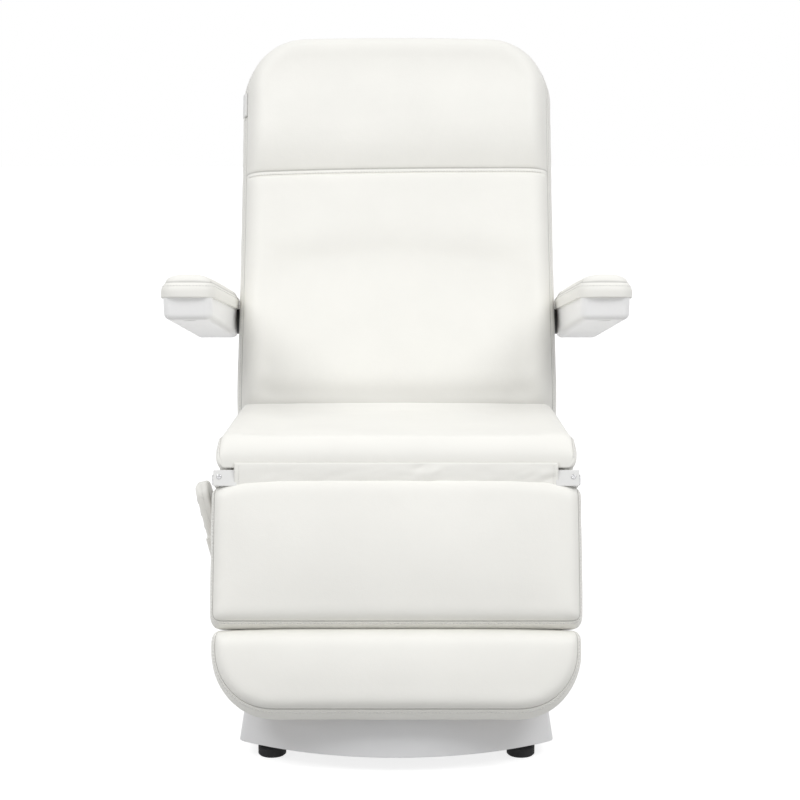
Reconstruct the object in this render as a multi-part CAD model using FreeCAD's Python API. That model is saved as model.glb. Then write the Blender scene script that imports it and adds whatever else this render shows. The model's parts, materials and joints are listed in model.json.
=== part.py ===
import FreeCAD, Part
import math
import os
from FreeCAD import Vector

# Electric beauty chair in its sitting pose, in millimetres.
# +Z is up, the sitter looks along -Y, the origin is on the floor below the middle of the chair.

# Clearances
FIT = 0.05  # radial room of a pin in its hole
SLIDE_FIT = 0.3  # radial room of a rod in its tube
SIDE_GAP = 0.5  # room beside a moving eye or plate
REST_GAP = 0.3  # room between a soft piece and what it rests on

# Seat
SEAT_FRONT_Y = -388.0
SEAT_DEPTH = 492.0
SEAT_HALF_WIDTH = 292.0
SEAT_BASE_Z = 452.0  # underside of the seat cushion
SEAT_THICKNESS = 66.0
SEAT_CROWN = 9.0
SEAT_FRONT_RISE = 12.0  # front of the top above its rear
SEAT_LIP_RISE = 42.0  # how far the underside rises to the rolled front edge
SEAT_LIP_RUN = 130.0
SEAT_END_R = 18.0
SEAT_RAIL_INSET = 24.0  # outer face of the rail from the side of the cushion
SEAT_RAIL_W = 30.0
SEAT_RAIL_H = 40.0
SEAT_RAIL_TAIL = 46.0  # end of the rail before the back hinge
CROSS_TUBE_W = 30.0
LUG_REACH = 35.0  # centre of a cross tube from the drive eye that it carries
BOARD_T = 12.0
BOARD_CORNER_R = 20.0
BOARD_INSET = 12.0  # edge of a board inside its cushion
PLATE_T = 8.0
TUBE_WALL = 3.0

# Cushion edges
CUSHION_BACK_R = 6.0
BACK_EDGE_SHARE = 0.3  # most of a cushion's thickness that its back edge's radius takes
FACE_EDGE_SHARE = 0.6  # the same for the edge of its face
SEAT_END_STEPS = 4  # stations round an end of the seat
END_STEPS = 3  # stations round an end of any other cushion
CORNER_TURNS = (0, 12, 24, 36, 48)  # degrees round a plan corner, a station each
CUSHION_FACE_R = 20.0
SIDE_PULL = 3.0  # how far a long side draws in between its corners
END_DRAW = 0.5  # share of an end's rounding that draws in the sides

# Backrest, measured along the back (u) and out of its front face (n) from its hinge
BACK_GAP = 74.0  # hinge behind the seat cushion
BACK_HINGE_DROP = 7.0  # hinge below the underside of the seat cushion
BACK_LEAN_DEG = 23.5
BACK_TRAVEL_DEG = 66.0
BACK_START_U = 20.0
BACK_LENGTH = 787.0
BACK_HALF_WIDTH = 303.0
BACK_CUSHION_N = -15.0
BACK_FACE_N = 70.0
BACK_CROWN = 10.0
BACK_CORNER_R = 112.0
BACK_END_R = 24.0
HEAD_SEAM_U = 528.0
HEAD_SEAM_DEPTH = 20.0
HEAD_SEAM_REACH = 46.0
HEAD_ROLL = 8.0  # how far the head roll stands ahead of the back
BACK_TUBE_D = 30.0
BACK_TUBE_W = 25.0
BACK_FRAME_LENGTH = 690.0
BACK_LOW_CROSS_U = 60.0
BACK_BOARD_INSET = 24.0
HINGE_PIN_R = 8.0
HINGE_EYE_R = 17.0
HINGE_LUG_LENGTH = 85.0
PIN_HEAD_T = 4.0
BACK_LEVER_U = 10.0
BACK_LEVER_N = -180.0
BACK_MOTOR_RISE = 5.0  # drive eye above the underside of the seat rails

# Leg rest, measured down the leg (s) and out of its front face (n) from its hinge
LEG_HINGE_SETBACK = 9.0  # hinge behind the front of the seat
LEG_HINGE_DROP = 20.0  # hinge below the rolled front edge
LEG_HANG_DEG = 18.0  # from the vertical, toes forward
LEG_TRAVEL_DEG = 70.0
LEG_START_S = 13.0
LEG_LENGTH = 226.0
LEG_HALF_WIDTH = 301.0
LEG_CUSHION_N = -28.0
LEG_FACE_N = 23.0
LEG_CROWN = 5.0
LEG_CORNER_R = 36.0
LEG_END_R = 20.0
LEG_BOARD_INSET = 30.0
KNUCKLE_T = 12.0
KNUCKLE_R = 12.0
KNUCKLE_LENGTH = 48.0
KNUCKLE_SWEEP = 71.0  # front of the seat rails behind the leg hinge
LEG_BOLT_R = 5.0
LEG_BOLT_HEAD_R = 8.5
GUIDE_X = 170.0
GUIDE_TUBE_R = 12.5
GUIDE_INSET = 8.0  # ends of the guide tubes inside the leg cushion
FOOT_ROD_R = 10.0
FOOT_ROD_HELD = 89.0  # length of a rod still in its guide tube at full travel
LEG_CROSS_H = 21.0
LEG_LEVER_S = 182.0
LEG_LEVER_N = -60.0
LEG_MOTOR_RISE = 15.0

# Footrest
FOOTREST_GAP = 4.0  # between leg cushion and foot cushion
FOOTREST_LENGTH = 145.0
FOOTREST_HALF_WIDTH = 298.0
FOOTREST_CORNER_R = 112.0
FOOTREST_TRAVEL = 85.0
FOOT_BOARD_LENGTH = 105.0
FOOT_BOARD_INSET = 40.0
FOOT_BAR_H = 14.0
FOOT_BAR_INSET = 4.0  # bar and board below the upper edge of the foot cushion

# Base
BASE_HALF_WIDTH = 263.0
BASE_LENGTH = 776.0
BASE_CLEAR = 2.0  # front of the base behind the footrest
BASE_FRONT_R = 440.0
BASE_REAR_R = 770.0
BASE_RAIL_Z = 56.0
BASE_RAIL_SIZE = 40.0
BASE_RAIL_INSET = 34.0  # outer face of a rail inside the cover's foot
BASE_RAIL_SETBACK = 88.0  # front end of the rails behind the front of the cover
BASE_RAIL_TAIL = 57.0  # rear end of the rails before the rear of the cover
COVER_LOW_Z = 28.0
COVER_PROP = 5.0  # height of the props between rails and cover
COVER_WALL = 4.0
COVER_DRAFT_DEG = 9.0
COVER_CORNER_R = 20.0
COVER_EDGE_R = 9.0
SLOT_SIDE_GAP = 13.0
SLOT_FRONT_GAP = 26.0  # front of the slot before the lift drive's eye
SLOT_R = 14.0
FOOT_SETBACK = 12.0  # foot centre from the end of its rail
FOOT_PAD_R = 23.5
FOOT_PAD_HEIGHT = 20.0
FOOT_PAD_RIM = 5.0
FOOT_STUD_R = 6.0
FOOT_STUD_SEAT = 8.0  # depth of the stud's socket in the pad
FOOT_NUT_R = 10.5
FOOT_NUT_H = 6.0
CONTROL_BOX = (180.0, 120.0, 36.0)
CONTROL_BOX_GAP = 5.0  # behind the front cross tube
CONTROL_BOX_R = 6.0
PORT_SIZE = 18.0
PORT_DEPTH = 12.0
TRAY_T = 3.0
INLET_WIDTH = 48.0
INLET_HEIGHT = 28.0
INLET_PROUD = 3.0
INLET_R = 3.0
INLET_MOUTH = (26.0, 17.0, 20.0)
INLET_PIN = (2.0, 4.0, 17.0)
INLET_PIN_PITCH = 7.5
INLET_PIN_STEP = 2.2

# Parallelogram lift
LIFT_PIVOT_INSET = 185.0  # lower fixed pivot in front of the rear of the base
LIFT_PIVOT_RISE = 44.0  # and above the underside of the base rails
LIFT_ARM_LENGTH = 400.0
LIFT_REST_DEG = 12.0  # arms above the horizontal in the lowest pose
LIFT_TRAVEL_DEG = 38.0
LIFT_LINK_SETBACK = 40.0  # upper pivots lie this far behind and above the lower ones
LIFT_LINK_RISE = 110.0
LIFT_SHAFT_R = 10.0
LIFT_ARM_X = 118.0
LIFT_ARM_T = 16.0
LIFT_ARM_R = 22.0
LIFT_UPPER_R = 20.0
LIFT_TIE_R = 15.0
LIFT_TIE_REACH = 300.0
LIFT_STUB = 8.0  # length of an upper stub shaft inside its arm
LIFT_POST_T = 10.0
POST_CROSS_W = 20.0
POST_CROSS_H = 26.0
LIFT_LEVER_LENGTH = 170.0
LIFT_LEVER_DEG = 60.0  # lever ahead of the arm's direction
LIFT_MOTOR_RISE = 20.0

# Linear drives
DRIVE_EYE_R = 14.0
DRIVE_EYE_W = 24.0
DRIVE_NECK = 20.0
DRIVE_PIN_R = 6.0
DRIVE_PIN_HEAD_R = 8.5
DRIVE_PIN_HEAD_T = 3.0
DRIVE_TUBE_R = 17.0
DRIVE_ROD_R = 10.0
DRIVE_BOX_HALF = 22.0
DRIVE_BOX_R = 8.0
DRIVE_BOX_START = 18.0
DRIVE_BOX_LENGTH = 52.0
DRIVE_BORE_START = 32.0
DRIVE_MOUTH_ROOM = 32.0  # tube mouth to rod eye, drive fully in
DRIVE_MOTOR_R = 20.5
DRIVE_MOTOR_LENGTH = 92.0
DRIVE_MOTOR_EDGE = 4.0
DRIVE_MOTOR_X = 50.0
LUG_T = 8.0

# Armrests, measured from their pivot on the back frame
ARM_PIVOT_U = 249.0
ARM_TILT_DEG = 8.3
ARM_GAP = 13.0  # between the back cushion and the inner face of the arm
ARM_WIDTH = 84.0
ARM_LENGTH = 520.0  # pivot to front end
ARM_TAIL = 36.0  # pivot to rear end
ARM_TOP_W = 26.0
ARM_FRONT_LOW_W = -14.0
ARM_REAR_LOW_W = -32.0
ARM_EDGE_R = 12.0
ARM_NOSE = 8.0  # how far the front face slopes back
ARM_HEEL = 22.0  # cut corner at the rear
ARM_PAD_T = 32.0
ARM_PAD_CROWN = 5.0
ARM_PAD_LIP = 3.0
ARM_PAD_END_R = 16.0
ARM_PAD_FACE_R = 13.0
ARM_SHAFT_R = 14.0
ARM_FLANGE_R = 25.0
ARM_FLANGE_T = 7.0
ARM_FLANGE_EDGE = 2.0
ARM_SOCKET = 26.0  # depth of the shaft in the housing
ARM_DIMPLE_R = 18.0
ARM_DIMPLE_DEPTH = 4.5
ARM_DIMPLE_SETBACK = 34.0

# Hand control, hung in a pocket on the side of the seat
HANDSET_LENGTH = 165.0
HANDSET_WIDTH = 58.0
HANDSET_T = 22.0
HANDSET_SIDE = 27.0  # its top, outside the hinge bracket
HANDSET_SETBACK = 53.0  # behind the leg hinge
HANDSET_RISE = 7.0  # above the underside of the seat cushion
HANDSET_LEAN_DEG = 14.0
HANDSET_CORNER_R = 20.0
HANDSET_EDGE_R = 5.5
POCKET_HEIGHT = 75.0
POCKET_WALL = 2.5
POCKET_GAP = 0.4
POCKET_R = 5.0
STRAP_SETBACK = 160.0  # its screw place behind the front of the seat rail
STRAP_ROOT_R = 16.0
STRAP_TIP_R = 13.0
BUTTON_R = 6.5
BUTTON_PROUD = 1.6
BUTTON_EDGE = 0.6
BUTTON_DEPTH = 3.0
BUTTON_TRAVEL = 1.0
BUTTON_ROWS = 3
BUTTON_PITCH = 22.0
BUTTON_SPREAD = 13.0
BUTTON_FIRST_W = 95.0

# Gap flap between seat and leg rest
FLAP_SIDE_GAP = 28.0  # inside the edge of the seat
FLAP_T = 1.6
FLAP_DROP = 22.0
FLAP_SETBACK = 6.0  # behind the front of the seat
FLAP_FOLDS = 6
FLAP_FOLD_DEPTH = 2.5

NODES = {}


def add(name, shape):
    NODES[name] = shape


def box(x0, x1, y0, y1, z0, z1):
    return Part.makeBox(x1 - x0, y1 - y0, z1 - z0, Vector(x0, y0, z0))


def rod_x(radius, x0, x1, y, z):
    return Part.makeCylinder(radius, x1 - x0, Vector(x0, y, z), Vector(1, 0, 0))


def rod_y(radius, y0, y1, x, z):
    return Part.makeCylinder(radius, y1 - y0, Vector(x, y0, z), Vector(0, 1, 0))


def rod_z(radius, z0, z1, x, y):
    return Part.makeCylinder(radius, z1 - z0, Vector(x, y, z0), Vector(0, 0, 1))


def fuse(shapes):
    return shapes[0].multiFuse(shapes[1:]).removeSplitter()


def mirrored(shape):
    return shape.mirror(Vector(0, 0, 0), Vector(1, 0, 0))


def both_sides(shapes):
    return list(shapes) + [mirrored(s) for s in shapes]


def plate_x(points, x0, x1):
    """Flat plate from an outline of (y, z) points, between two x planes."""
    loop = [Vector(x0, y, z) for y, z in points]
    face = Part.Face(Part.makePolygon(loop + loop[:1]))
    return face.extrude(Vector(x1 - x0, 0, 0))


def wire(curves):
    return Part.Wire([c.toShape() for c in curves])


def link_x(p, p_r, q, q_r, x0, x1):
    """Plate with a round end at p and at q, whose edges are tangent to both ends."""
    span = math.hypot(q[0] - p[0], q[1] - p[1])
    along = math.atan2(q[1] - p[1], q[0] - p[0])
    off = math.acos((p_r - q_r) / span)

    def rim(centre, radius, angle):
        return Vector(x0, centre[0] + radius * math.cos(angle), centre[1] + radius * math.sin(angle))

    outline = wire(
        [
            Part.LineSegment(rim(p, p_r, along + off), rim(q, q_r, along + off)),
            Part.Arc(rim(q, q_r, along + off), rim(q, q_r, along), rim(q, q_r, along - off)),
            Part.LineSegment(rim(q, q_r, along - off), rim(p, p_r, along - off)),
            Part.Arc(rim(p, p_r, along - off), rim(p, p_r, along + math.pi), rim(p, p_r, along + off)),
        ]
    )
    return Part.Face(outline).extrude(Vector(x1 - x0, 0, 0))


def rect_tube(x0, x1, y0, y1, z0, z1, along):
    """Rectangular tube, open along one axis: 0 for X, 1 for Y, 2 for Z."""
    inset = [TUBE_WALL] * 3
    inset[along] = 0
    outer = box(x0, x1, y0, y1, z0, z1)
    inner = box(
        x0 + inset[0], x1 - inset[0], y0 + inset[1], y1 - inset[1], z0 + inset[2], z1 - inset[2]
    )
    return outer.cut(inner)


def round_bar(x0, x1, y0, y1, z0, z1, radius, along):
    """Box whose four edges along one axis are rounded."""
    solid = box(x0, x1, y0, y1, z0, z1)
    chosen = []
    for edge in solid.Edges:
        run = edge.Vertexes[1].Point - edge.Vertexes[0].Point
        if abs(run[along]) > 0.9 * run.Length:
            chosen.append(edge)
    return solid.makeFillet(radius, chosen)


def turned(shape, degrees, y, z):
    """Turn a piece built about the origin around X, then move it to its hinge."""
    out = shape.copy()
    out.rotate(Vector(0, 0, 0), Vector(1, 0, 0), degrees)
    out.translate(Vector(0, y, z))
    return out


def polar(centre, radius, degrees):
    angle = math.radians(degrees)
    return (centre[0] + radius * math.cos(angle), centre[1] + radius * math.sin(angle))


# Hinges and the frames that are measured from them

SEAT_REAR_Y = SEAT_FRONT_Y + SEAT_DEPTH
SEAT_LIP_Z = SEAT_BASE_Z + SEAT_LIP_RISE
BACK_HINGE = (SEAT_REAR_Y + BACK_GAP, SEAT_BASE_Z - BACK_HINGE_DROP)
LEG_HINGE = (SEAT_FRONT_Y + LEG_HINGE_SETBACK, SEAT_LIP_Z - LEG_HINGE_DROP)


def back_point(u, n):
    lean = math.radians(BACK_LEAN_DEG)
    y = BACK_HINGE[0] + u * math.sin(lean) - n * math.cos(lean)
    z = BACK_HINGE[1] + u * math.cos(lean) + n * math.sin(lean)
    return (y, z)


def leg_point(s, n):
    hang = math.radians(LEG_HANG_DEG)
    y = LEG_HINGE[0] - s * math.sin(hang) - n * math.cos(hang)
    z = LEG_HINGE[1] - s * math.cos(hang) + n * math.sin(hang)
    return (y, z)


def place_back(shape):
    return turned(shape, -BACK_LEAN_DEG, *BACK_HINGE)


def place_leg(shape):
    return turned(shape, -LEG_HANG_DEG, *LEG_HINGE)


# Places that several pieces share

SEAT_RAIL_Z = SEAT_BASE_Z - BOARD_T - SEAT_RAIL_H
RAIL_OUTER_X = SEAT_HALF_WIDTH - SEAT_RAIL_INSET
RAIL_INNER_X = RAIL_OUTER_X - SEAT_RAIL_W
SEAT_RAIL_FRONT_Y = LEG_HINGE[0] + KNUCKLE_SWEEP
SEAT_RAIL_REAR_Y = BACK_HINGE[0] - SEAT_RAIL_TAIL

LEG_END_S = LEG_START_S + LEG_LENGTH
FOOTREST_START_S = LEG_END_S + FOOTREST_GAP
FOOTREST_END_S = FOOTREST_START_S + FOOTREST_LENGTH
LEG_BOARD_N = LEG_CUSHION_N - BOARD_T
GUIDE_N = LEG_BOARD_N - GUIDE_TUBE_R - REST_GAP
KNUCKLE_X = RAIL_OUTER_X + PLATE_T + SIDE_GAP
CLEVIS_OUTER_X = KNUCKLE_X + KNUCKLE_T + SIDE_GAP

BACK_BOARD_N = BACK_CUSHION_N - BOARD_T
BACK_TUBE_N = BACK_BOARD_N - BACK_TUBE_D / 2
BACK_LUG_X = RAIL_OUTER_X - 2 * SIDE_GAP - PLATE_T
BACK_TUBE_X = BACK_LUG_X - BACK_TUBE_W
ARM_PIVOT = back_point(ARM_PIVOT_U, BACK_TUBE_N)
ARM_INNER_X = BACK_HALF_WIDTH + ARM_GAP

BASE_FRONT_Y = leg_point(FOOTREST_END_S, LEG_BOARD_N)[0] + BASE_CLEAR
BASE_REAR_Y = BASE_FRONT_Y + BASE_LENGTH
BASE_RAIL_FRONT_Y = BASE_FRONT_Y + BASE_RAIL_SETBACK
BASE_RAIL_REAR_Y = BASE_REAR_Y - BASE_RAIL_TAIL
BASE_RAIL_OUTER_X = BASE_HALF_WIDTH - BASE_RAIL_INSET
BASE_RAIL_INNER_X = BASE_RAIL_OUTER_X - BASE_RAIL_SIZE
BASE_RAIL_X = (BASE_RAIL_OUTER_X + BASE_RAIL_INNER_X) / 2
BASE_RAIL_TOP = BASE_RAIL_Z + BASE_RAIL_SIZE
COVER_TOP_Z = BASE_RAIL_TOP + COVER_PROP + COVER_WALL
INLET_Z = BASE_RAIL_Z + BASE_RAIL_SIZE / 2
CONTROL_BOX_Y = BASE_RAIL_FRONT_Y + BASE_RAIL_SIZE + CONTROL_BOX_GAP
FOOT_PLACES = [
    (side * BASE_RAIL_X, y)
    for y in (BASE_RAIL_FRONT_Y + FOOT_SETBACK, BASE_RAIL_REAR_Y - FOOT_SETBACK)
    for side in (-1, 1)
]

LIFT_LOW = (BASE_REAR_Y - LIFT_PIVOT_INSET, BASE_RAIL_Z + LIFT_PIVOT_RISE)
LIFT_HIGH = (LIFT_LOW[0] + LIFT_LINK_SETBACK, LIFT_LOW[1] + LIFT_LINK_RISE)
LIFT_ARM_DEG = 180.0 - LIFT_REST_DEG
CARRIAGE_LOW = polar(LIFT_LOW, LIFT_ARM_LENGTH, LIFT_ARM_DEG)
CARRIAGE_HIGH = polar(LIFT_HIGH, LIFT_ARM_LENGTH, LIFT_ARM_DEG)
LIFT_PLATE_X = LIFT_ARM_X + LIFT_ARM_T + 2 * SIDE_GAP
POST_FRONT_Y = LIFT_LOW[0] - LIFT_ARM_R - LIFT_SHAFT_R
POST_REAR_Y = LIFT_HIGH[0] + LIFT_ARM_R + LIFT_SHAFT_R

# A drive whose two eyes are equally far from the hinge that it turns swings by exactly half the
# hinge's angle, so its tube and rod stay in line over the whole travel.
LIFT_LEVER_TIP = polar(LIFT_LOW, LIFT_LEVER_LENGTH, LIFT_ARM_DEG - LIFT_LEVER_DEG)
BACK_LEVER_TIP = back_point(BACK_LEVER_U, BACK_LEVER_N)
BACK_LEVER_LENGTH = math.hypot(BACK_LEVER_U, BACK_LEVER_N)
LEG_LEVER_TIP = leg_point(LEG_LEVER_S, LEG_LEVER_N)
LEG_LEVER_LENGTH = math.hypot(LEG_LEVER_S, LEG_LEVER_N)


def motor_eye(hinge, lever, z, side):
    """Fixed eye of a drive at height z, as far from the hinge as its lever's tip."""
    return (hinge[0] + side * math.sqrt(lever**2 - (hinge[1] - z) ** 2), z)


LIFT_MOTOR = motor_eye(LIFT_LOW, LIFT_LEVER_LENGTH, BASE_RAIL_Z + LIFT_MOTOR_RISE, -1)
BACK_MOTOR = motor_eye(BACK_HINGE, BACK_LEVER_LENGTH, SEAT_RAIL_Z + BACK_MOTOR_RISE, -1)
LEG_MOTOR = motor_eye(LEG_HINGE, LEG_LEVER_LENGTH, SEAT_RAIL_Z + LEG_MOTOR_RISE, 1)
LUG_X = DRIVE_EYE_W / 2 + SIDE_GAP
LIFT_CROSS_Y = LIFT_MOTOR[0] - LUG_REACH
LEG_CROSS_Y = LEG_MOTOR[0] + LUG_REACH
BACK_CROSS_Y = BACK_MOTOR[0] - LUG_REACH


def drive_lugs(root, root_r, tip):
    """Twin lug plates that carry a drive's eye at their tip."""
    hole = rod_x(DRIVE_PIN_R + FIT, LUG_X, LUG_X + LUG_T, *tip)
    lug = link_x(root, root_r, tip, DRIVE_EYE_R, LUG_X, LUG_X + LUG_T).cut(hole)
    return both_sides([lug])


# Base


def cover_outline(z, inset):
    """Plan of the cover at one height: bowed front and rear, straight sides, round corners."""
    half = BASE_HALF_WIDTH - inset
    corner = max(COVER_CORNER_R - inset, COVER_WALL)
    points = []
    for end_y, bow_r, way in ((BASE_FRONT_Y, BASE_FRONT_R, 1), (BASE_REAR_Y, BASE_REAR_R, -1)):
        bow = bow_r - inset
        centre = end_y + way * bow_r
        reach = math.sqrt((bow - corner) ** 2 - (half - corner) ** 2)
        corner_y = centre - way * reach
        scale = bow / (bow - corner)
        touch = ((half - corner) * scale, centre - way * reach * scale)
        turn = math.atan2(touch[1] - corner_y, touch[0] - half + corner) / 2
        middle = (half - corner + corner * math.cos(turn), corner_y + corner * math.sin(turn))
        points.append((centre - way * bow, touch, middle, (half, corner_y)))
    (front, f_touch, f_mid, f_side), (rear, r_touch, r_mid, r_side) = points

    def right(p):
        return Vector(p[0], p[1], z)

    def left(p):
        return Vector(-p[0], p[1], z)

    return wire(
        [
            Part.Arc(left(f_touch), Vector(0, front, z), right(f_touch)),
            Part.Arc(right(f_touch), right(f_mid), right(f_side)),
            Part.LineSegment(right(f_side), right(r_side)),
            Part.Arc(right(r_side), right(r_mid), right(r_touch)),
            Part.Arc(right(r_touch), Vector(0, rear, z), left(r_touch)),
            Part.Arc(left(r_touch), left(r_mid), left(r_side)),
            Part.LineSegment(left(r_side), left(f_side)),
            Part.Arc(left(f_side), left(f_mid), left(f_touch)),
        ]
    )


def cover_body(top, inset, edge):
    """Drafted body of the cover with a rounded upper edge."""
    draft = math.tan(math.radians(COVER_DRAFT_DEG))
    levels = [(COVER_LOW_Z, inset)]
    for degrees in (0, 30, 60, 90):
        angle = math.radians(degrees)
        z = top - edge * (1 - math.sin(angle))
        levels.append((z, inset + (z - COVER_LOW_Z) * draft + edge * (1 - math.cos(angle))))
    return Part.makeLoft([cover_outline(z, shrink) for z, shrink in levels], True, True)


def base_cover():
    outer = cover_body(COVER_TOP_Z, 0, COVER_EDGE_R)
    inner = cover_body(COVER_TOP_Z - COVER_WALL, COVER_WALL, COVER_EDGE_R - COVER_WALL)
    half = LIFT_PLATE_X + LIFT_POST_T + SLOT_SIDE_GAP
    slot = round_bar(
        -half,
        half,
        LIFT_MOTOR[0] - SLOT_FRONT_GAP,
        POST_REAR_Y + POST_CROSS_W + SIDE_GAP,
        COVER_TOP_Z - 2 * COVER_WALL,
        COVER_TOP_Z + COVER_WALL,
        SLOT_R,
        2,
    )
    wide = INLET_WIDTH / 2 + SIDE_GAP
    high = INLET_HEIGHT / 2 + SIDE_GAP
    window = box(-wide, wide, BASE_RAIL_REAR_Y, BASE_REAR_Y, INLET_Z - high, INLET_Z + high)
    return outer.cut(inner).cut(slot).cut(window)


def base_cross(y0, y1, height):
    return rect_tube(-BASE_RAIL_INNER_X, BASE_RAIL_INNER_X, y0, y1, BASE_RAIL_Z, BASE_RAIL_Z + height, 0)


def lift_post():
    """Upright plate that carries one side's lower and upper lift pivots."""
    y, z = LIFT_HIGH
    shoulder = BASE_RAIL_Z + POST_CROSS_H
    outline = [
        (POST_FRONT_Y, BASE_RAIL_Z),
        (POST_REAR_Y, BASE_RAIL_Z),
        (POST_REAR_Y, shoulder),
        (POST_REAR_Y + POST_CROSS_W, shoulder),
        (y + LIFT_ARM_R, z),
        (y - LIFT_ARM_R, z),
        (POST_FRONT_Y - POST_CROSS_W, shoulder),
        (POST_FRONT_Y, shoulder),
    ]
    x0 = LIFT_PLATE_X
    x1 = x0 + LIFT_POST_T
    plate = plate_x(outline, x0, x1).fuse(rod_x(LIFT_ARM_R, x0, x1, y, z))
    for pivot in (LIFT_LOW, LIFT_HIGH):
        plate = plate.cut(rod_x(LIFT_SHAFT_R + FIT, x0, x1, *pivot))
    return plate


def base_frame():
    size = BASE_RAIL_SIZE
    front = BASE_RAIL_FRONT_Y
    rear = BASE_RAIL_REAR_Y
    inner = BASE_RAIL_INNER_X
    outer = BASE_RAIL_OUTER_X
    rail = rect_tube(inner, outer, front, rear, BASE_RAIL_Z, BASE_RAIL_TOP, 1)
    props = [
        box(inner, outer, y, y + size, BASE_RAIL_TOP, BASE_RAIL_TOP + COVER_PROP)
        for y in (front + size, rear - 2 * size)
    ]
    crosses = [
        base_cross(front, front + size, size),
        base_cross(rear - size / 2, rear, size),
        base_cross(POST_FRONT_Y - POST_CROSS_W, POST_FRONT_Y, POST_CROSS_H),
        base_cross(POST_REAR_Y, POST_REAR_Y + POST_CROSS_W, POST_CROSS_H),
        base_cross(LIFT_CROSS_Y - POST_CROSS_W / 2, LIFT_CROSS_Y + POST_CROSS_W / 2, size),
    ]
    lugs = drive_lugs((LIFT_CROSS_Y, LIFT_MOTOR[1]), DRIVE_EYE_R, LIFT_MOTOR)
    tray = box(-inner, inner, front + size, CONTROL_BOX_Y + CONTROL_BOX[1], BASE_RAIL_Z, BASE_RAIL_Z + TRAY_T)
    frame = fuse(both_sides([rail, lift_post()] + props) + crosses + lugs + [tray])
    for x, y in FOOT_PLACES:
        frame = frame.cut(rod_z(FOOT_STUD_R + FIT, BASE_RAIL_Z, BASE_RAIL_Z + TUBE_WALL, x, y))
    return frame


def revolved(profile, x, y):
    """Turned piece from an outline of (radius, z) points."""
    loop = [Vector(x + r, y, z) for r, z in profile]
    face = Part.Face(Part.makePolygon(loop + loop[:1]))
    return face.revolve(Vector(x, y, 0), Vector(0, 0, 1), 360)


def foot_pad(x, y):
    """Rubber foot with a bevelled rim and a socket for its stud."""
    r = FOOT_PAD_R
    high = FOOT_PAD_HEIGHT
    rim = FOOT_PAD_RIM
    hole = FOOT_STUD_R + FIT
    seat = high - FOOT_STUD_SEAT
    profile = [
        (0, 0),
        (r - rim / 2, 0),
        (r, rim / 2),
        (r, high - rim),
        (r - rim / 3, high - rim / 3),
        (r - rim, high),
        (hole, high),
        (hole, seat),
        (0, seat),
    ]
    return revolved(profile, x, y)


def foot_stud(x, y):
    """Levelling stud with its lock nut under the rail."""
    low = FOOT_PAD_HEIGHT - FOOT_STUD_SEAT + REST_GAP
    stud = rod_z(FOOT_STUD_R, low, BASE_RAIL_Z + BASE_RAIL_SIZE / 2, x, y)
    corners = [polar((x, y), FOOT_NUT_R, 60 * k) for k in range(6)]
    loop = [Vector(cx, cy, BASE_RAIL_Z - FOOT_NUT_H) for cx, cy in corners]
    nut = Part.Face(Part.makePolygon(loop + loop[:1])).extrude(Vector(0, 0, FOOT_NUT_H))
    return stud.fuse(nut).removeSplitter()


def control_box():
    wide, deep, high = CONTROL_BOX
    low = BASE_RAIL_Z + TRAY_T
    rear = CONTROL_BOX_Y + deep
    case = round_bar(-wide / 2, wide / 2, CONTROL_BOX_Y, rear, low, low + high, CONTROL_BOX_R, 2)
    half = PORT_SIZE / 2
    for x in (-wide / 4, 0, wide / 4):
        z = low + high / 2
        case = case.cut(box(x - half, x + half, rear - PORT_DEPTH, rear, z - half / 2, z + half / 2))
    return case


def mains_inlet():
    """Appliance inlet in the rear window of the cover, without its lead."""
    draft = (INLET_Z - COVER_LOW_Z) * math.tan(math.radians(COVER_DRAFT_DEG))
    face = BASE_REAR_Y - draft + INLET_PROUD
    wide = INLET_WIDTH / 2
    high = INLET_HEIGHT / 2
    body = round_bar(-wide, wide, BASE_RAIL_REAR_Y, face, INLET_Z - high, INLET_Z + high, INLET_R, 1)
    mouth_w, mouth_h, depth = INLET_MOUTH
    floor = face - depth
    mouth = round_bar(
        -mouth_w / 2, mouth_w / 2, floor, face, INLET_Z - mouth_h / 2, INLET_Z + mouth_h / 2, INLET_R, 1
    )
    pin_w, pin_h, pin_l = INLET_PIN
    pins = []
    for k in (-1, 0, 1):
        x = k * INLET_PIN_PITCH
        z = INLET_Z + (-INLET_PIN_STEP if k else INLET_PIN_STEP)
        pins.append(box(x - pin_w / 2, x + pin_w / 2, floor, floor + pin_l, z - pin_h / 2, z + pin_h / 2))
    return fuse([body.cut(mouth)] + pins)


# Lift


def lift_arm(start, end, radius):
    x0 = LIFT_ARM_X
    x1 = x0 + LIFT_ARM_T
    bar = link_x(start, radius, end, radius, x0, x1)
    for pivot in (start, end):
        bar = bar.cut(rod_x(LIFT_SHAFT_R + FIT, x0, x1, *pivot))
    return bar


def lower_arms():
    """Lower arm pair, its torsion tube and the lever that the lift drive pushes."""
    arms = both_sides([lift_arm(LIFT_LOW, CARRIAGE_LOW, LIFT_ARM_R)])
    tube = rod_x(LIFT_ARM_R, -LIFT_ARM_X, LIFT_ARM_X, *LIFT_LOW)
    levers = drive_lugs(LIFT_LOW, LIFT_ARM_R, LIFT_LEVER_TIP)
    whole = fuse(arms + [tube] + levers)
    return whole.cut(rod_x(LIFT_SHAFT_R + FIT, -LIFT_ARM_X, LIFT_ARM_X, *LIFT_LOW))


def upper_arms():
    """Upper arm pair with its tie tube, which stays clear of the lever."""
    arms = both_sides([lift_arm(LIFT_HIGH, CARRIAGE_HIGH, LIFT_UPPER_R)])
    tie = polar(LIFT_HIGH, LIFT_TIE_REACH, LIFT_ARM_DEG)
    return fuse(arms + [rod_x(LIFT_TIE_R, -LIFT_ARM_X, LIFT_ARM_X, *tie)])


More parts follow.
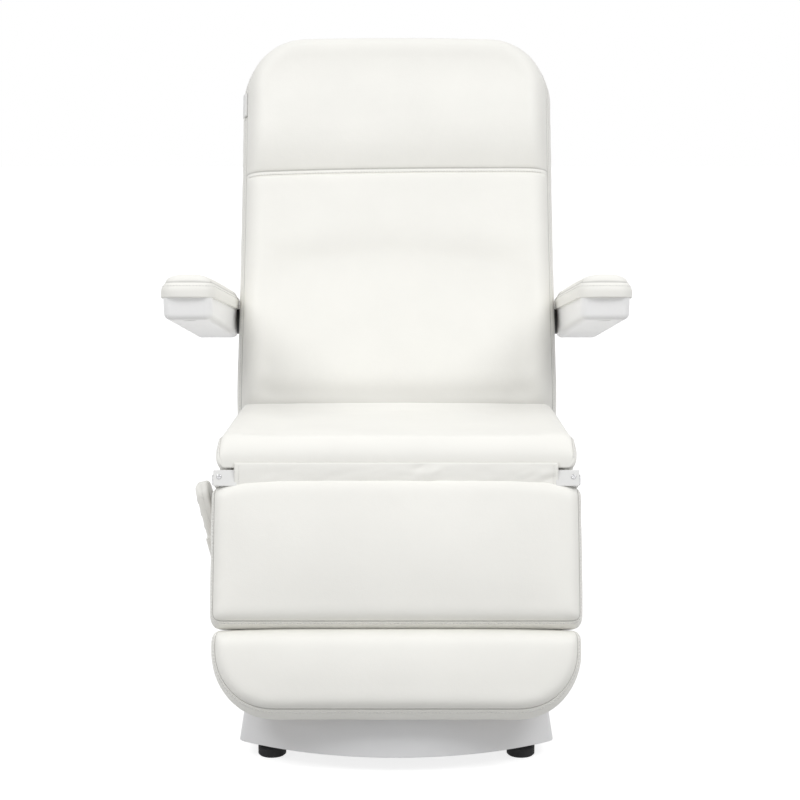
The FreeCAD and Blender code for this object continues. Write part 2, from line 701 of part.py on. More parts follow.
def lift_shafts():
    """Lower through shaft and two upper stub shafts, fixed in the posts."""
    outer = LIFT_PLATE_X + LIFT_POST_T
    stub = rod_x(LIFT_SHAFT_R, LIFT_ARM_X - LIFT_STUB, outer, *LIFT_HIGH)
    through = rod_x(LIFT_SHAFT_R, -outer, outer, *LIFT_LOW)
    return Part.makeCompound([through] + both_sides([stub]))


# Linear drives, built along +Y from the motor eye and then turned into line


def drive_length(lever, rest, travel):
    """Length between the eyes once the hinge has turned by the travel, in degrees."""
    rest_angle = 2 * math.asin(rest / (2 * lever))
    return 2 * lever * math.sin((rest_angle + math.radians(travel)) / 2)


def drive(name, start, end, lever, travel):
    """Drive body and rod between two eyes, and the clevis pin of each eye."""
    rest = math.hypot(end[0] - start[0], end[1] - start[1])
    shortest = min(rest, drive_length(lever, rest, travel))
    tip = rest - (shortest - DRIVE_BORE_START - SIDE_GAP)
    turn = math.degrees(math.atan2(end[1] - start[1], end[0] - start[0]))
    add(name + "_drive", turned(drive_body(shortest - DRIVE_MOUTH_ROOM), turn, *start))
    add(name + "_drive_rod", turned(drive_rod(tip, rest), turn, *start))
    return drive_pin(start), drive_pin(end)


def drive_body(mouth):
    """Gearbox, motor can and outer tube of one linear drive."""
    eye_half = DRIVE_EYE_W / 2
    half = DRIVE_BOX_HALF
    box_end = DRIVE_BOX_START + DRIVE_BOX_LENGTH
    eye = rod_x(DRIVE_EYE_R, -eye_half, eye_half, 0, 0)
    neck = box(-eye_half, eye_half, 0, DRIVE_BOX_START, -DRIVE_NECK / 2, DRIVE_NECK / 2)
    gearbox = round_bar(-half, DRIVE_MOTOR_X + half, DRIVE_BOX_START, box_end, -half, half, DRIVE_BOX_R, 1)
    tube = rod_y(DRIVE_TUBE_R, box_end, mouth, 0, 0)
    can_end = box_end + DRIVE_MOTOR_LENGTH
    can = rod_y(DRIVE_MOTOR_R, box_end, can_end, DRIVE_MOTOR_X, 0)
    can = can.makeChamfer(DRIVE_MOTOR_EDGE, [e for e in can.Edges if e.BoundBox.YMin > can_end - FIT])
    body = fuse([eye, neck, gearbox, tube, can])
    body = body.cut(rod_y(DRIVE_ROD_R + SLIDE_FIT, DRIVE_BORE_START, mouth, 0, 0))
    return body.cut(rod_x(DRIVE_PIN_R + FIT, -eye_half, eye_half, 0, 0))


def drive_rod(tip, rest):
    eye_half = DRIVE_EYE_W / 2
    rod = rod_y(DRIVE_ROD_R, tip, rest, 0, 0)
    eye = rod_x(DRIVE_EYE_R, -eye_half, eye_half, rest, 0)
    return fuse([rod, eye]).cut(rod_x(DRIVE_PIN_R + FIT, -eye_half, eye_half, rest, 0))


def drive_pin(place):
    """Clevis pin with a head outside each lug."""
    outer = LUG_X + LUG_T
    head = rod_x(DRIVE_PIN_HEAD_R, outer, outer + DRIVE_PIN_HEAD_T, *place)
    return fuse([rod_x(DRIVE_PIN_R, -outer, outer, *place)] + both_sides([head]))


# Seat


def ear_plate():
    """Rear plate on the rail that carries the backrest's hinge pin."""
    x0 = RAIL_OUTER_X
    x1 = x0 + PLATE_T
    root_r = SEAT_RAIL_H / 2 - SIDE_GAP
    root = (SEAT_RAIL_REAR_Y - 2 * SEAT_RAIL_H, SEAT_RAIL_Z + SEAT_RAIL_H / 2)
    plate = link_x(root, root_r, BACK_HINGE, HINGE_EYE_R, x0, x1)
    return plate.cut(rod_x(HINGE_PIN_R + FIT, x0, x1, *BACK_HINGE))


def seat_cross(y):
    half = CROSS_TUBE_W / 2
    top = SEAT_RAIL_Z + SEAT_RAIL_H
    return rect_tube(-RAIL_INNER_X, RAIL_INNER_X, y - half, y + half, SEAT_RAIL_Z, top, 0)


def seat_frame():
    top = SEAT_RAIL_Z + SEAT_RAIL_H
    rail = rect_tube(RAIL_INNER_X, RAIL_OUTER_X, SEAT_RAIL_FRONT_Y, SEAT_RAIL_REAR_Y, SEAT_RAIL_Z, top, 1)
    leg_lugs = drive_lugs((LEG_CROSS_Y, LEG_MOTOR[1]), DRIVE_EYE_R, LEG_MOTOR)
    back_root = (BACK_CROSS_Y, SEAT_RAIL_Z + SEAT_RAIL_H / 2)
    back_lugs = drive_lugs(back_root, DRIVE_EYE_R, BACK_MOTOR)
    crosses = [seat_cross(LEG_CROSS_Y), seat_cross(BACK_CROSS_Y)]
    return fuse(both_sides([rail, ear_plate()]) + crosses + leg_lugs + back_lugs)


def carriage_plate():
    """Side plate that hangs under the seat frame and carries the lift's moving pivots."""
    x0 = LIFT_PLATE_X
    x1 = x0 + LIFT_POST_T
    r = LIFT_ARM_R
    front = LEG_CROSS_Y - CROSS_TUBE_W / 2
    rear = BACK_CROSS_Y + CROSS_TUBE_W / 2
    y, z = CARRIAGE_LOW
    outline = [(y - r, z), (y + r, z), (rear, SEAT_RAIL_Z - r), (rear, SEAT_RAIL_Z), (front, SEAT_RAIL_Z)]
    plate = fuse(
        [
            plate_x(outline, x0, x1),
            link_x(CARRIAGE_LOW, r, CARRIAGE_HIGH, r, x0, x1),
            link_x(CARRIAGE_HIGH, r, (front + r, SEAT_RAIL_Z - r), r, x0, x1),
        ]
    )
    for pivot in (CARRIAGE_LOW, CARRIAGE_HIGH):
        plate = plate.cut(rod_x(LIFT_SHAFT_R + FIT, x0, x1, *pivot))
    return plate


def carriage_shafts():
    outer = LIFT_PLATE_X + LIFT_POST_T
    return Part.makeCompound([rod_x(LIFT_SHAFT_R, -outer, outer, *p) for p in (CARRIAGE_LOW, CARRIAGE_HIGH)])


def headed_pins(radius, head_r, x0, x1, place):
    """Pair of pins along X with a head on the outer end."""
    shank = rod_x(radius, x0, x1, *place)
    head = rod_x(head_r, x1, x1 + PIN_HEAD_T, *place)
    return Part.makeCompound(both_sides([shank.fuse(head).removeSplitter()]))


def seat_board():
    front = SEAT_FRONT_Y + SEAT_LIP_RUN
    rear = SEAT_REAR_Y - BOARD_INSET
    low = SEAT_BASE_Z - BOARD_T
    return round_bar(-RAIL_OUTER_X, RAIL_OUTER_X, front, rear, low, SEAT_BASE_Z, BOARD_CORNER_R, 2)


def leg_clevis():
    """Painted hinge bracket at the front corner of the seat: two cheeks on a bridge."""
    r = KNUCKLE_R
    run = KNUCKLE_SWEEP + 2 * r
    bend = (LEG_HINGE[0] + run, LEG_HINGE[1] - run * math.tan(math.radians(LEG_HANG_DEG)))
    root = (bend[0] + SEAT_RAIL_H, SEAT_RAIL_Z + SEAT_RAIL_H / 2)
    end = CLEVIS_OUTER_X + PLATE_T
    pieces = []
    for x in (RAIL_OUTER_X, CLEVIS_OUTER_X):
        pieces.append(link_x(bend, r, LEG_HINGE, r, x, x + PLATE_T))
        pieces.append(link_x(root, SEAT_RAIL_H / 2 - SIDE_GAP, bend, r, x, x + PLATE_T))
    pieces.append(box(RAIL_OUTER_X, end, bend[0], root[0], root[1] - r, root[1] + r))
    return fuse(pieces).cut(rod_x(LEG_BOLT_R + FIT, RAIL_OUTER_X, end, *LEG_HINGE))


# Cushions: ruled lofts through sections with a flat back, rounded edges and a crowned face


def cushion_section(place, half, back, face, crown, face_r):
    """One section of a cushion, across x, from its flat back to its crowned face."""
    back_r = min(CUSHION_BACK_R, (face - back) * BACK_EDGE_SHARE)
    face_r = min(face_r, (face - back) * FACE_EDGE_SHARE)
    flat = 1 - math.sqrt(0.5)

    def corner(side, n, way, radius):
        x = side * half
        return [
            place(x - side * radius, n),
            place(x - side * radius * flat, n - way * radius * flat),
            place(x, n - way * radius),
        ]

    top_left = corner(-1, face, 1, face_r)
    top_right = corner(1, face, 1, face_r)
    low_left = corner(-1, back, -1, back_r)
    low_right = corner(1, back, -1, back_r)
    return wire(
        [
            Part.LineSegment(low_left[0], low_right[0]),
            Part.Arc(*low_right),
            Part.LineSegment(low_right[2], top_right[2]),
            Part.Arc(*reversed(top_right)),
            Part.Arc(top_right[0], place(0, face + crown), top_left[0]),
            Part.Arc(*top_left),
            Part.LineSegment(top_left[2], low_left[2]),
            Part.Arc(*reversed(low_left)),
        ]
    )


def rounded_ends(start, end, radius, steps):
    """Stations at the two ends of a cushion, each with the inset that rounds that end."""
    turns = [math.pi / 2 * k / steps for k in range(steps + 1)]
    inset = [(radius * (1 - math.cos(a)), radius * (1 - math.sin(a))) for a in turns]
    low = [(start + along, drop) for along, drop in inset]
    high = [(end - along, drop) for along, drop in reversed(inset)]
    return low, high


def corner_inset(distance, radius):
    """How far a rounded plan corner draws in the side, this far from the end."""
    if distance >= radius:
        return 0.0
    return radius - math.sqrt(radius**2 - (radius - distance) ** 2)


def corner_stations(end, radius):
    """Stations along a rounded plan corner, closer together towards the end."""
    return [(end - radius * (1 - math.sin(math.radians(turn))), 0.0) for turn in CORNER_TURNS]


def side_pull(place, start, end):
    """How far a side is drawn in at one place between its two corners."""
    share = (place - start) / (end - start)
    return SIDE_PULL * 4 * share * (1 - share)


def seat_cushion():
    """Crowned seat with a rolled front edge, whose underside rises to the front."""
    low, high = rounded_ends(SEAT_FRONT_Y, SEAT_REAR_Y, SEAT_END_R, SEAT_END_STEPS)
    lip_end = SEAT_FRONT_Y + SEAT_LIP_RUN
    sections = []
    for y, inset in low + [(lip_end, 0.0), ((lip_end + SEAT_REAR_Y) / 2, 0.0)] + high:
        back = SEAT_BASE_Z + SEAT_LIP_RISE * max(0.0, lip_end - y) / SEAT_LIP_RUN
        rise = SEAT_FRONT_RISE * (SEAT_REAR_Y - y) / SEAT_DEPTH
        face = SEAT_BASE_Z + SEAT_THICKNESS + rise - inset
        off_centre = 2 * (y - SEAT_FRONT_Y) / SEAT_DEPTH - 1
        crown = SEAT_CROWN * (1 - off_centre**2 / 2)
        half = SEAT_HALF_WIDTH - inset * END_DRAW - side_pull(y, SEAT_FRONT_Y, SEAT_REAR_Y)

        def place(x, n, y=y):
            return Vector(x, y, n)

        sections.append(cushion_section(place, half, back, face, crown, CUSHION_FACE_R))
    return Part.makeLoft(sections, True, True)


def back_cushion():
    """Back cushion with rounded top corners, sewn across below a fuller head roll."""
    start = BACK_START_U
    end = start + BACK_LENGTH
    low, high = rounded_ends(start, end, BACK_END_R, END_STEPS)
    reach = HEAD_SEAM_REACH
    middle = [((start + HEAD_SEAM_U - reach) / 2, 0.0)]
    seam = [(HEAD_SEAM_U + k * reach / 3, 0.0) for k in range(-3, 4)]
    corner = corner_stations(end, BACK_CORNER_R)
    sections = []
    for u, inset in low + middle + seam + corner + high:
        groove = 0.0
        if abs(u - HEAD_SEAM_U) < reach:
            groove = HEAD_SEAM_DEPTH * math.cos(math.pi / 2 * (u - HEAD_SEAM_U) / reach) ** 2
        roll = HEAD_ROLL if u > HEAD_SEAM_U else 0.0
        half = BACK_HALF_WIDTH - corner_inset(end - u, BACK_CORNER_R) - inset * END_DRAW
        half -= side_pull(u, start, end)

        def place(x, n, u=u):
            return Vector(x, -n, u)

        face = BACK_FACE_N - inset - groove + roll
        sections.append(cushion_section(place, half, BACK_CUSHION_N, face, BACK_CROWN, CUSHION_FACE_R))
    return place_back(Part.makeLoft(sections, True, True))


def hanging_cushion(start, end, half_width, corner_r):
    """Leg or foot cushion: square upper end, rounded lower corners."""
    low, high = rounded_ends(start, end, LEG_END_R, END_STEPS)
    corner = corner_stations(end, corner_r)
    corner = [c for c in corner if low[-1][0] < c[0] < high[0][0]]
    sections = []
    for s, inset in low + corner + high:
        half = half_width - corner_inset(end - s, corner_r) - inset * END_DRAW
        half -= side_pull(s, start, end)

        def place(x, n, s=s):
            return Vector(x, -n, -s)

        face = LEG_FACE_N - inset
        sections.append(cushion_section(place, half, LEG_CUSHION_N, face, LEG_CROWN, CUSHION_FACE_R))
    return place_leg(Part.makeLoft(sections, True, True))


def gap_flap():
    """Leather strip that hangs in the gap, with shallow folds along its width."""
    top_y = SEAT_FRONT_Y + FLAP_SETBACK
    slope = SEAT_LIP_RISE / SEAT_LIP_RUN
    top_z = SEAT_LIP_Z - REST_GAP - (FLAP_SETBACK + FLAP_T) * slope
    low_z = top_z - FLAP_DROP
    half = SEAT_HALF_WIDTH - FLAP_SIDE_GAP
    sections = []
    for k in range(2 * FLAP_FOLDS + 1):
        x = -half + half * k / FLAP_FOLDS
        fold = FLAP_FOLD_DEPTH if k % 2 else 0.0
        points = [
            Vector(x, top_y, top_z),
            Vector(x, top_y + FLAP_T, top_z),
            Vector(x, top_y + FLAP_T - fold, low_z),
            Vector(x, top_y - fold, low_z),
        ]
        sections.append(Part.makePolygon(points + points[:1]))
    return Part.makeLoft(sections, True, True)


# Backrest, built upright about its hinge and then leaned back


def back_lug():
    """Hinge lug on the side tube, cranked forward to the pin below the cushion."""
    x0 = BACK_LUG_X
    x1 = x0 + PLATE_T
    y0 = -BACK_BOARD_N
    y1 = y0 + BACK_TUBE_D
    r = HINGE_EYE_R
    outline = [(0, -r), (y1, -r), (y1, HINGE_LUG_LENGTH), (y0, HINGE_LUG_LENGTH), (y0, r), (0, r)]
    plate = plate_x(outline, x0, x1).fuse(rod_x(r, x0, x1, 0, 0)).removeSplitter()
    return plate.cut(rod_x(HINGE_PIN_R + FIT, x0, x1, 0, 0))


def back_cross(u):
    half = BACK_TUBE_D / 2
    y0 = -BACK_BOARD_N
    return rect_tube(-BACK_TUBE_X, BACK_TUBE_X, y0, y0 + BACK_TUBE_D, u - half, u + half, 0)


def back_frame():
    """Welded frame behind the back board, with hinge lugs and the twin lever of the back drive."""
    y0 = -BACK_BOARD_N
    side = rect_tube(
        BACK_TUBE_X, BACK_LUG_X, y0, y0 + BACK_TUBE_D, -HINGE_EYE_R, BACK_FRAME_LENGTH, 2
    )
    places = (BACK_LOW_CROSS_U, HEAD_SEAM_U, BACK_FRAME_LENGTH - BACK_TUBE_D / 2)
    crosses = [back_cross(u) for u in places]
    tip = (-BACK_LEVER_N, BACK_LEVER_U)
    levers = drive_lugs((-BACK_TUBE_N, BACK_LOW_CROSS_U), BACK_TUBE_D / 2, tip)
    return place_back(fuse(both_sides([side, back_lug()]) + crosses + levers))


def back_board():
    half = BACK_HALF_WIDTH - BACK_BOARD_INSET
    y0 = -BACK_CUSHION_N
    top = BACK_START_U + BACK_LENGTH - BACK_BOARD_INSET
    slab = box(-half, half, y0, y0 + BOARD_T, BACK_START_U + CUSHION_BACK_R, top)
    upper = []
    for edge in slab.Edges:
        a, b = [v.Point for v in edge.Vertexes]
        if min(a.z, b.z) > top - FIT and abs(a.y - b.y) > FIT:
            upper.append(edge)
    return place_back(slab.makeFillet(BACK_CORNER_R - BACK_BOARD_INSET, upper))


def arm_shafts():
    """Stub shafts on the side tubes that the armrests turn on."""
    outer = ARM_INNER_X + ARM_SOCKET - SIDE_GAP
    return Part.makeCompound(both_sides([rod_x(ARM_SHAFT_R, BACK_LUG_X, outer, *ARM_PIVOT)]))


# Leg rest and footrest, built hanging about the leg hinge and then swung forward


def knuckle():
    """Hinge tongue: an eye above the cushion, cranked back to the frame."""
    x0 = KNUCKLE_X
    x1 = x0 + KNUCKLE_T
    r = KNUCKLE_R
    y0 = -LEG_BOARD_N + REST_GAP
    y1 = -GUIDE_N + GUIDE_TUBE_R
    low = -KNUCKLE_LENGTH
    outline = [(0, -r), (y0, -r), (y0, low), (y1, low), (y1, r), (0, r)]
    plate = plate_x(outline, x0, x1).fuse(rod_x(r, x0, x1, 0, 0)).removeSplitter()
    return plate.cut(rod_x(LEG_BOLT_R + FIT, x0, x1, 0, 0))


def leg_frame():
    """Two guide tubes, a cross tube with the drive lugs, and arms out to the hinge tongues."""
    y_mid = -GUIDE_N
    y0 = -LEG_BOARD_N + REST_GAP
    y1 = y_mid + GUIDE_TUBE_R
    top = -(LEG_START_S + GUIDE_INSET)
    low = -(LEG_END_S - GUIDE_INSET)
    guide = rod_z(GUIDE_TUBE_R, low, top, GUIDE_X, y_mid)
    arm = rect_tube(GUIDE_X, KNUCKLE_X, y0, y1, -KNUCKLE_LENGTH, -2 * KNUCKLE_R, 0)
    cross = rect_tube(-GUIDE_X, GUIDE_X, y0, y1, low, low + LEG_CROSS_H, 0)
    lug_root = (y_mid, low + LEG_CROSS_H / 2)
    lugs = drive_lugs(lug_root, LEG_CROSS_H / 2 - SIDE_GAP, (-LEG_LEVER_N, -LEG_LEVER_S))
    frame = fuse(both_sides([guide, arm, knuckle()]) + [cross] + lugs)
    for hole in both_sides([rod_z(FOOT_ROD_R + SLIDE_FIT, low, top, GUIDE_X, y_mid)]):
        frame = frame.cut(hole)
    return place_leg(frame)


def hanging_board(start, end, half, radius):
    y0 = -LEG_CUSHION_N
    return place_leg(round_bar(-half, half, y0, y0 + BOARD_T, -end, -start, radius, 1))


def foot_frame():
    """Two rods that run in the guide tubes, joined by a bar behind the foot board."""
    y_mid = -GUIDE_N
    bar_top = -(FOOTREST_START_S + FOOT_BAR_INSET)
    bar_low = bar_top - FOOT_BAR_H
    rod_top = FOOTREST_TRAVEL + FOOT_ROD_HELD + GUIDE_INSET - LEG_START_S - LEG_LENGTH
    rod = rod_z(FOOT_ROD_R, bar_low, rod_top, GUIDE_X, y_mid)
    half = GUIDE_X + GUIDE_TUBE_R
    bar = round_bar(-half, half, -LEG_BOARD_N, y_mid + GUIDE_TUBE_R, bar_low, bar_top, CUSHION_BACK_R, 1)
    return place_leg(fuse(both_sides([rod]) + [bar]))


# Armrests, built level about their pivot and then tilted


def place_arm(shape):
    return turned(shape, -ARM_TILT_DEG, *ARM_PIVOT)


def arm_housing():
    """Moulded arm body: deeper at the pivot, rounded front and lower edges, a dimple underneath."""
    x0 = ARM_INNER_X
    x1 = x0 + ARM_WIDTH
    outline = [
        (-ARM_LENGTH, ARM_TOP_W),
        (ARM_TAIL, ARM_TOP_W),
        (ARM_TAIL, ARM_REAR_LOW_W + ARM_HEEL),
        (ARM_TAIL - ARM_HEEL, ARM_REAR_LOW_W),
        (-ARM_LENGTH + ARM_NOSE, ARM_FRONT_LOW_W),
    ]
    solid = plate_x(outline, x0, x1)
    rounded = []
    for edge in solid.Edges:
        a, b = [v.Point for v in edge.Vertexes]
        along_side = abs(a.x - b.x) < FIT and min(a.z, b.z) < ARM_TOP_W - FIT
        nose = max(a.y, b.y) < ARM_NOSE - ARM_LENGTH + FIT and max(a.z, b.z) < ARM_TOP_W - FIT
        if along_side or nose:
            rounded.append(edge)
    solid = solid.makeFillet(ARM_EDGE_R, rounded)
    solid = solid.cut(rod_x(ARM_SHAFT_R + FIT, x0, x0 + ARM_SOCKET, 0, 0))
    centre = Vector(
        (x0 + x1) / 2, -ARM_LENGTH + ARM_DIMPLE_SETBACK, ARM_FRONT_LOW_W - ARM_DIMPLE_R + ARM_DIMPLE_DEPTH
    )
    return solid.cut(Part.makeSphere(ARM_DIMPLE_R, centre))


def arm_pad():
    low, high = rounded_ends(-ARM_LENGTH - ARM_PAD_LIP, ARM_TAIL, ARM_PAD_END_R, END_STEPS)
    mid = ARM_INNER_X + ARM_WIDTH / 2
    sections = []
    for y, inset in low + high:
        half = ARM_WIDTH / 2 + ARM_PAD_LIP - inset * END_DRAW
        face = ARM_TOP_W + ARM_PAD_T - inset

        def place(x, n, y=y):
            return Vector(mid + x, y, n)

        sections.append(cushion_section(place, half, ARM_TOP_W, face, ARM_PAD_CROWN, ARM_PAD_FACE_R))
    return Part.makeLoft(sections, True, True)


def arm_flange():
    x1 = ARM_INNER_X
    x0 = x1 - ARM_FLANGE_T
    disc = rod_x(ARM_FLANGE_R, x0, x1, 0, 0)
    disc = disc.makeChamfer(ARM_FLANGE_EDGE, [e for e in disc.Edges if e.BoundBox.XMax < x0 + FIT])
    return disc.cut(rod_x(ARM_SHAFT_R + FIT, x0, x1, 0, 0))


# Hand control, built upright on its lower end and then leaned outward


def place_handset(shape):
    out = shape.copy()
    lean = math.radians(HANDSET_LEAN_DEG)
    out.rotate(Vector(0, 0, 0), Vector(0, 1, 0), -HANDSET_LEAN_DEG)
    x = -(CLEVIS_OUTER_X + PLATE_T + HANDSET_SIDE) + HANDSET_LENGTH * math.sin(lean)
    z = SEAT_BASE_Z + HANDSET_RISE - HANDSET_LENGTH * math.cos(lean)
    out.translate(Vector(x, LEG_HINGE[0] + HANDSET_SETBACK, z))
    return out


def button_places():
    return [
        (side * BUTTON_SPREAD, BUTTON_FIRST_W + row * BUTTON_PITCH)
        for row in range(BUTTON_ROWS)
        for side in (-1, 1)
    ]


def handset_shells():
    """Front and back shell of the hand control, with a well for each button in the front."""
    half_t = HANDSET_T / 2
    half_w = HANDSET_WIDTH / 2
    solid = round_bar(-half_t, half_t, -half_w, half_w, 0, HANDSET_LENGTH, HANDSET_CORNER_R, 0)
    rims = [e for e in solid.Edges if abs(abs(e.BoundBox.Center.x) - half_t) < FIT]
    solid = solid.makeFillet(HANDSET_EDGE_R, rims)
    front_side = box(-half_t, 0, -half_w, half_w, 0, HANDSET_LENGTH)
    front = solid.common(front_side)
    depth = BUTTON_DEPTH + BUTTON_TRAVEL + REST_GAP
    for y, w in button_places():
        front = front.cut(rod_x(BUTTON_R + SLIDE_FIT, -half_t, -half_t + depth, y, w))
    return front, solid.cut(front_side)


def button(y, w):
    face = -HANDSET_T / 2 - BUTTON_PROUD
    key = rod_x(BUTTON_R, face, -HANDSET_T / 2 + BUTTON_DEPTH, y, w)
    return key.makeChamfer(BUTTON_EDGE, [e for e in key.Edges if e.BoundBox.XMax < face + FIT])


def handset_holder():
    """Open-topped pocket and the strap that fixes it to the seat rail."""
    in_t = HANDSET_T / 2 + POCKET_GAP
    in_w = HANDSET_WIDTH / 2 + POCKET_GAP
    out_t = in_t + POCKET_WALL
    out_w = in_w + POCKET_WALL
    floor = -POCKET_GAP
    pocket = round_bar(-out_t, out_t, -out_w, out_w, floor - POCKET_WALL, POCKET_HEIGHT, POCKET_R, 2)
    pocket = place_handset(pocket)
    bounds = pocket.BoundBox
    root = (SEAT_RAIL_FRONT_Y + STRAP_SETBACK, SEAT_RAIL_Z + SEAT_RAIL_H / 2)
    tip = (bounds.YMax - 2 * STRAP_TIP_R, bounds.ZMin + STRAP_TIP_R)
    strap = link_x(root, STRAP_ROOT_R, tip, STRAP_TIP_R, -RAIL_OUTER_X - 2 * POCKET_WALL, -RAIL_OUTER_X)
    inside = box(-in_t, in_t, -in_w, in_w, floor, POCKET_HEIGHT)
    return fuse([pocket, strap]).cut(place_handset(inside))


# The whole chair


def build_base():
    add("base_frame", base_frame())
    add("base_cover", base_cover())
    for k, (x, y) in enumerate(FOOT_PLACES):
        add("foot_pad_%d" % (k + 1), foot_pad(x, y))
    add("foot_studs", Part.makeCompound([foot_stud(x, y) for x, y in FOOT_PLACES]))
    add("control_box", control_box())
    add("mains_inlet", mains_inlet())
    add("lift_shafts", lift_shafts())


def build_lift():
    add("lower_arms", lower_arms())
    add("upper_arms", upper_arms())
    base_pin, lever_pin = drive("lift", LIFT_MOTOR, LIFT_LEVER_TIP, LIFT_LEVER_LENGTH, LIFT_TRAVEL_DEG)
    add("lift_drive_base_pin", base_pin)
    add("lift_drive_lever_pin", lever_pin)


def build_seat():
    add("seat_frame", seat_frame())
    plate = carriage_plate()
    add("carriage_plate_right", plate)
    add("carriage_plate_left", mirrored(plate))
    add("carriage_shafts", carriage_shafts())
    outer = RAIL_OUTER_X + PLATE_T
    add("back_hinge_pins", headed_pins(HINGE_PIN_R, HINGE_EYE_R - PIN_HEAD_T, BACK_LUG_X, outer, BACK_HINGE))
    add("seat_board", seat_board())
    add("seat_cushion", seat_cushion())
    clevis = leg_clevis()
    add("leg_clevis_right", clevis)
    add("leg_clevis_left", mirrored(clevis))
    outer = CLEVIS_OUTER_X + PLATE_T
    add("leg_hinge_bolts", headed_pins(LEG_BOLT_R, LEG_BOLT_HEAD_R, RAIL_OUTER_X, outer, LEG_HINGE))
    add("gap_flap", gap_flap())
    add("handset_holder", handset_holder())


def build_back():
    add("back_frame", back_frame())
    add("back_board", back_board())
    add("back_cushion", back_cushion())
    add("arm_shafts", arm_shafts())
    seat_pin, lever_pin = drive("back", BACK_MOTOR, BACK_LEVER_TIP, BACK_LEVER_LENGTH, -BACK_TRAVEL_DEG)
    add("back_drive_seat_pin", seat_pin)
    add("back_drive_lever_pin", lever_pin)


def build_leg():
    add("leg_frame", leg_frame())
    start = LEG_START_S + GUIDE_INSET
    end = LEG_END_S - BOARD_INSET
    add("leg_board", hanging_board(start, end, LEG_HALF_WIDTH - LEG_BOARD_INSET, BOARD_CORNER_R))
    add("leg_cushion", hanging_cushion(LEG_START_S, LEG_END_S, LEG_HALF_WIDTH, LEG_CORNER_R))
    seat_pin, lever_pin = drive("leg", LEG_MOTOR, LEG_LEVER_TIP, LEG_LEVER_LENGTH, LEG_TRAVEL_DEG)
    add("leg_drive_seat_pin", seat_pin)
    add("leg_drive_lever_pin", lever_pin)


def build_footrest():
    start = FOOTREST_START_S + FOOT_BAR_INSET
    half = FOOTREST_HALF_WIDTH - FOOT_BOARD_INSET
    add("foot_frame", foot_frame())
    add("foot_board", hanging_board(start, start + FOOT_BOARD_LENGTH, half, BOARD_CORNER_R))
    cushion = hanging_cushion(FOOTREST_START_S, FOOTREST_END_S, FOOTREST_HALF_WIDTH, FOOTREST_CORNER_R)
    add("foot_cushion", cushion)


def build_arms():
    for name, piece in (("housing", arm_housing()), ("pad", arm_pad()), ("flange", arm_flange())):
        add("arm_%s_right" % name, place_arm(piece))
        add("arm_%s_left" % name, place_arm(mirrored(piece)))


def build_handset():
    front, back = handset_shells()
    add("handset_front", place_handset(front))
    add("handset_back", place_handset(back))
    for k, (y, w) in enumerate(button_places()):
        add("handset_button_%d" % (k + 1), place_handset(button(y, w)))


def main():
    build_base()
    build_lift()
    build_seat()
    build_back()
    build_leg()
    build_footrest()
    build_arms()
    build_handset()
    os.makedirs("parts", exist_ok=True)
    for name, shape in NODES.items():
        shape.exportStep("parts/%s.step" % name)


main()
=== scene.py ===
import json
import math

import bpy
import numpy as np
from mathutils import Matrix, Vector, noise

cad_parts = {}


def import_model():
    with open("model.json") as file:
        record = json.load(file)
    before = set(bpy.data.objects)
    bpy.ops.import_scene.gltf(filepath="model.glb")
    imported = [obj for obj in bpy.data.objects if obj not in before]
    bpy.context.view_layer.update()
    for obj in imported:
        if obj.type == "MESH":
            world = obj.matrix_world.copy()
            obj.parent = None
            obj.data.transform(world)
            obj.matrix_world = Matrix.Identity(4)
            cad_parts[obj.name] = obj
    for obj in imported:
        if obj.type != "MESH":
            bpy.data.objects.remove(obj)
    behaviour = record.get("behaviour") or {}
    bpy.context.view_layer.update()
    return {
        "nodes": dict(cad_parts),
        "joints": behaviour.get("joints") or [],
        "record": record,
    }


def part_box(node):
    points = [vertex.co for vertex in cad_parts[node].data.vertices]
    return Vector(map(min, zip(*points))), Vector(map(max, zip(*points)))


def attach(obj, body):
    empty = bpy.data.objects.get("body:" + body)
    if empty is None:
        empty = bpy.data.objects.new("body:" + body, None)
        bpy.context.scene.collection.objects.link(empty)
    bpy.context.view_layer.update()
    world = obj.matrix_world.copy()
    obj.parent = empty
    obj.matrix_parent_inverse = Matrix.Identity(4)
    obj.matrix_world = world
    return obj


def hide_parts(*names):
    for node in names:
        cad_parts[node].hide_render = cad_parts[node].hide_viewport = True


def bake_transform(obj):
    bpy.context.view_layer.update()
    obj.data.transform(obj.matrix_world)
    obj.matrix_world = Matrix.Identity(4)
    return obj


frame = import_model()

# Camera, fitted to the photograph without any shift
PHOTO_PX = 800
SENSOR_MM = 36.0
FOCAL_PX = 1911.0
CAMERA_PLACE = (0.006, -3.450, 1.081)
CAMERA_PITCH_DEG = 8.79
CAMERA_CLIP = 200.0

# Light: two soft lamps, at the left and right of the camera, and an even surround
LAMP_REACH = 4.6
LAMP_AZIMUTH_DEG = 46.0
LAMP_ELEVATION_DEG = 42.0
LAMP_TARGET = (0.0, -0.15, 0.55)
LAMP_SIZE = 2.0
LAMP_POWER = 53.0
ZENITH = 0.82
HORIZON = 0.46
FLOOR_SIZE = 60.0
FLOOR_TONE = 0.50
FLOOR_GLOW = 0.80

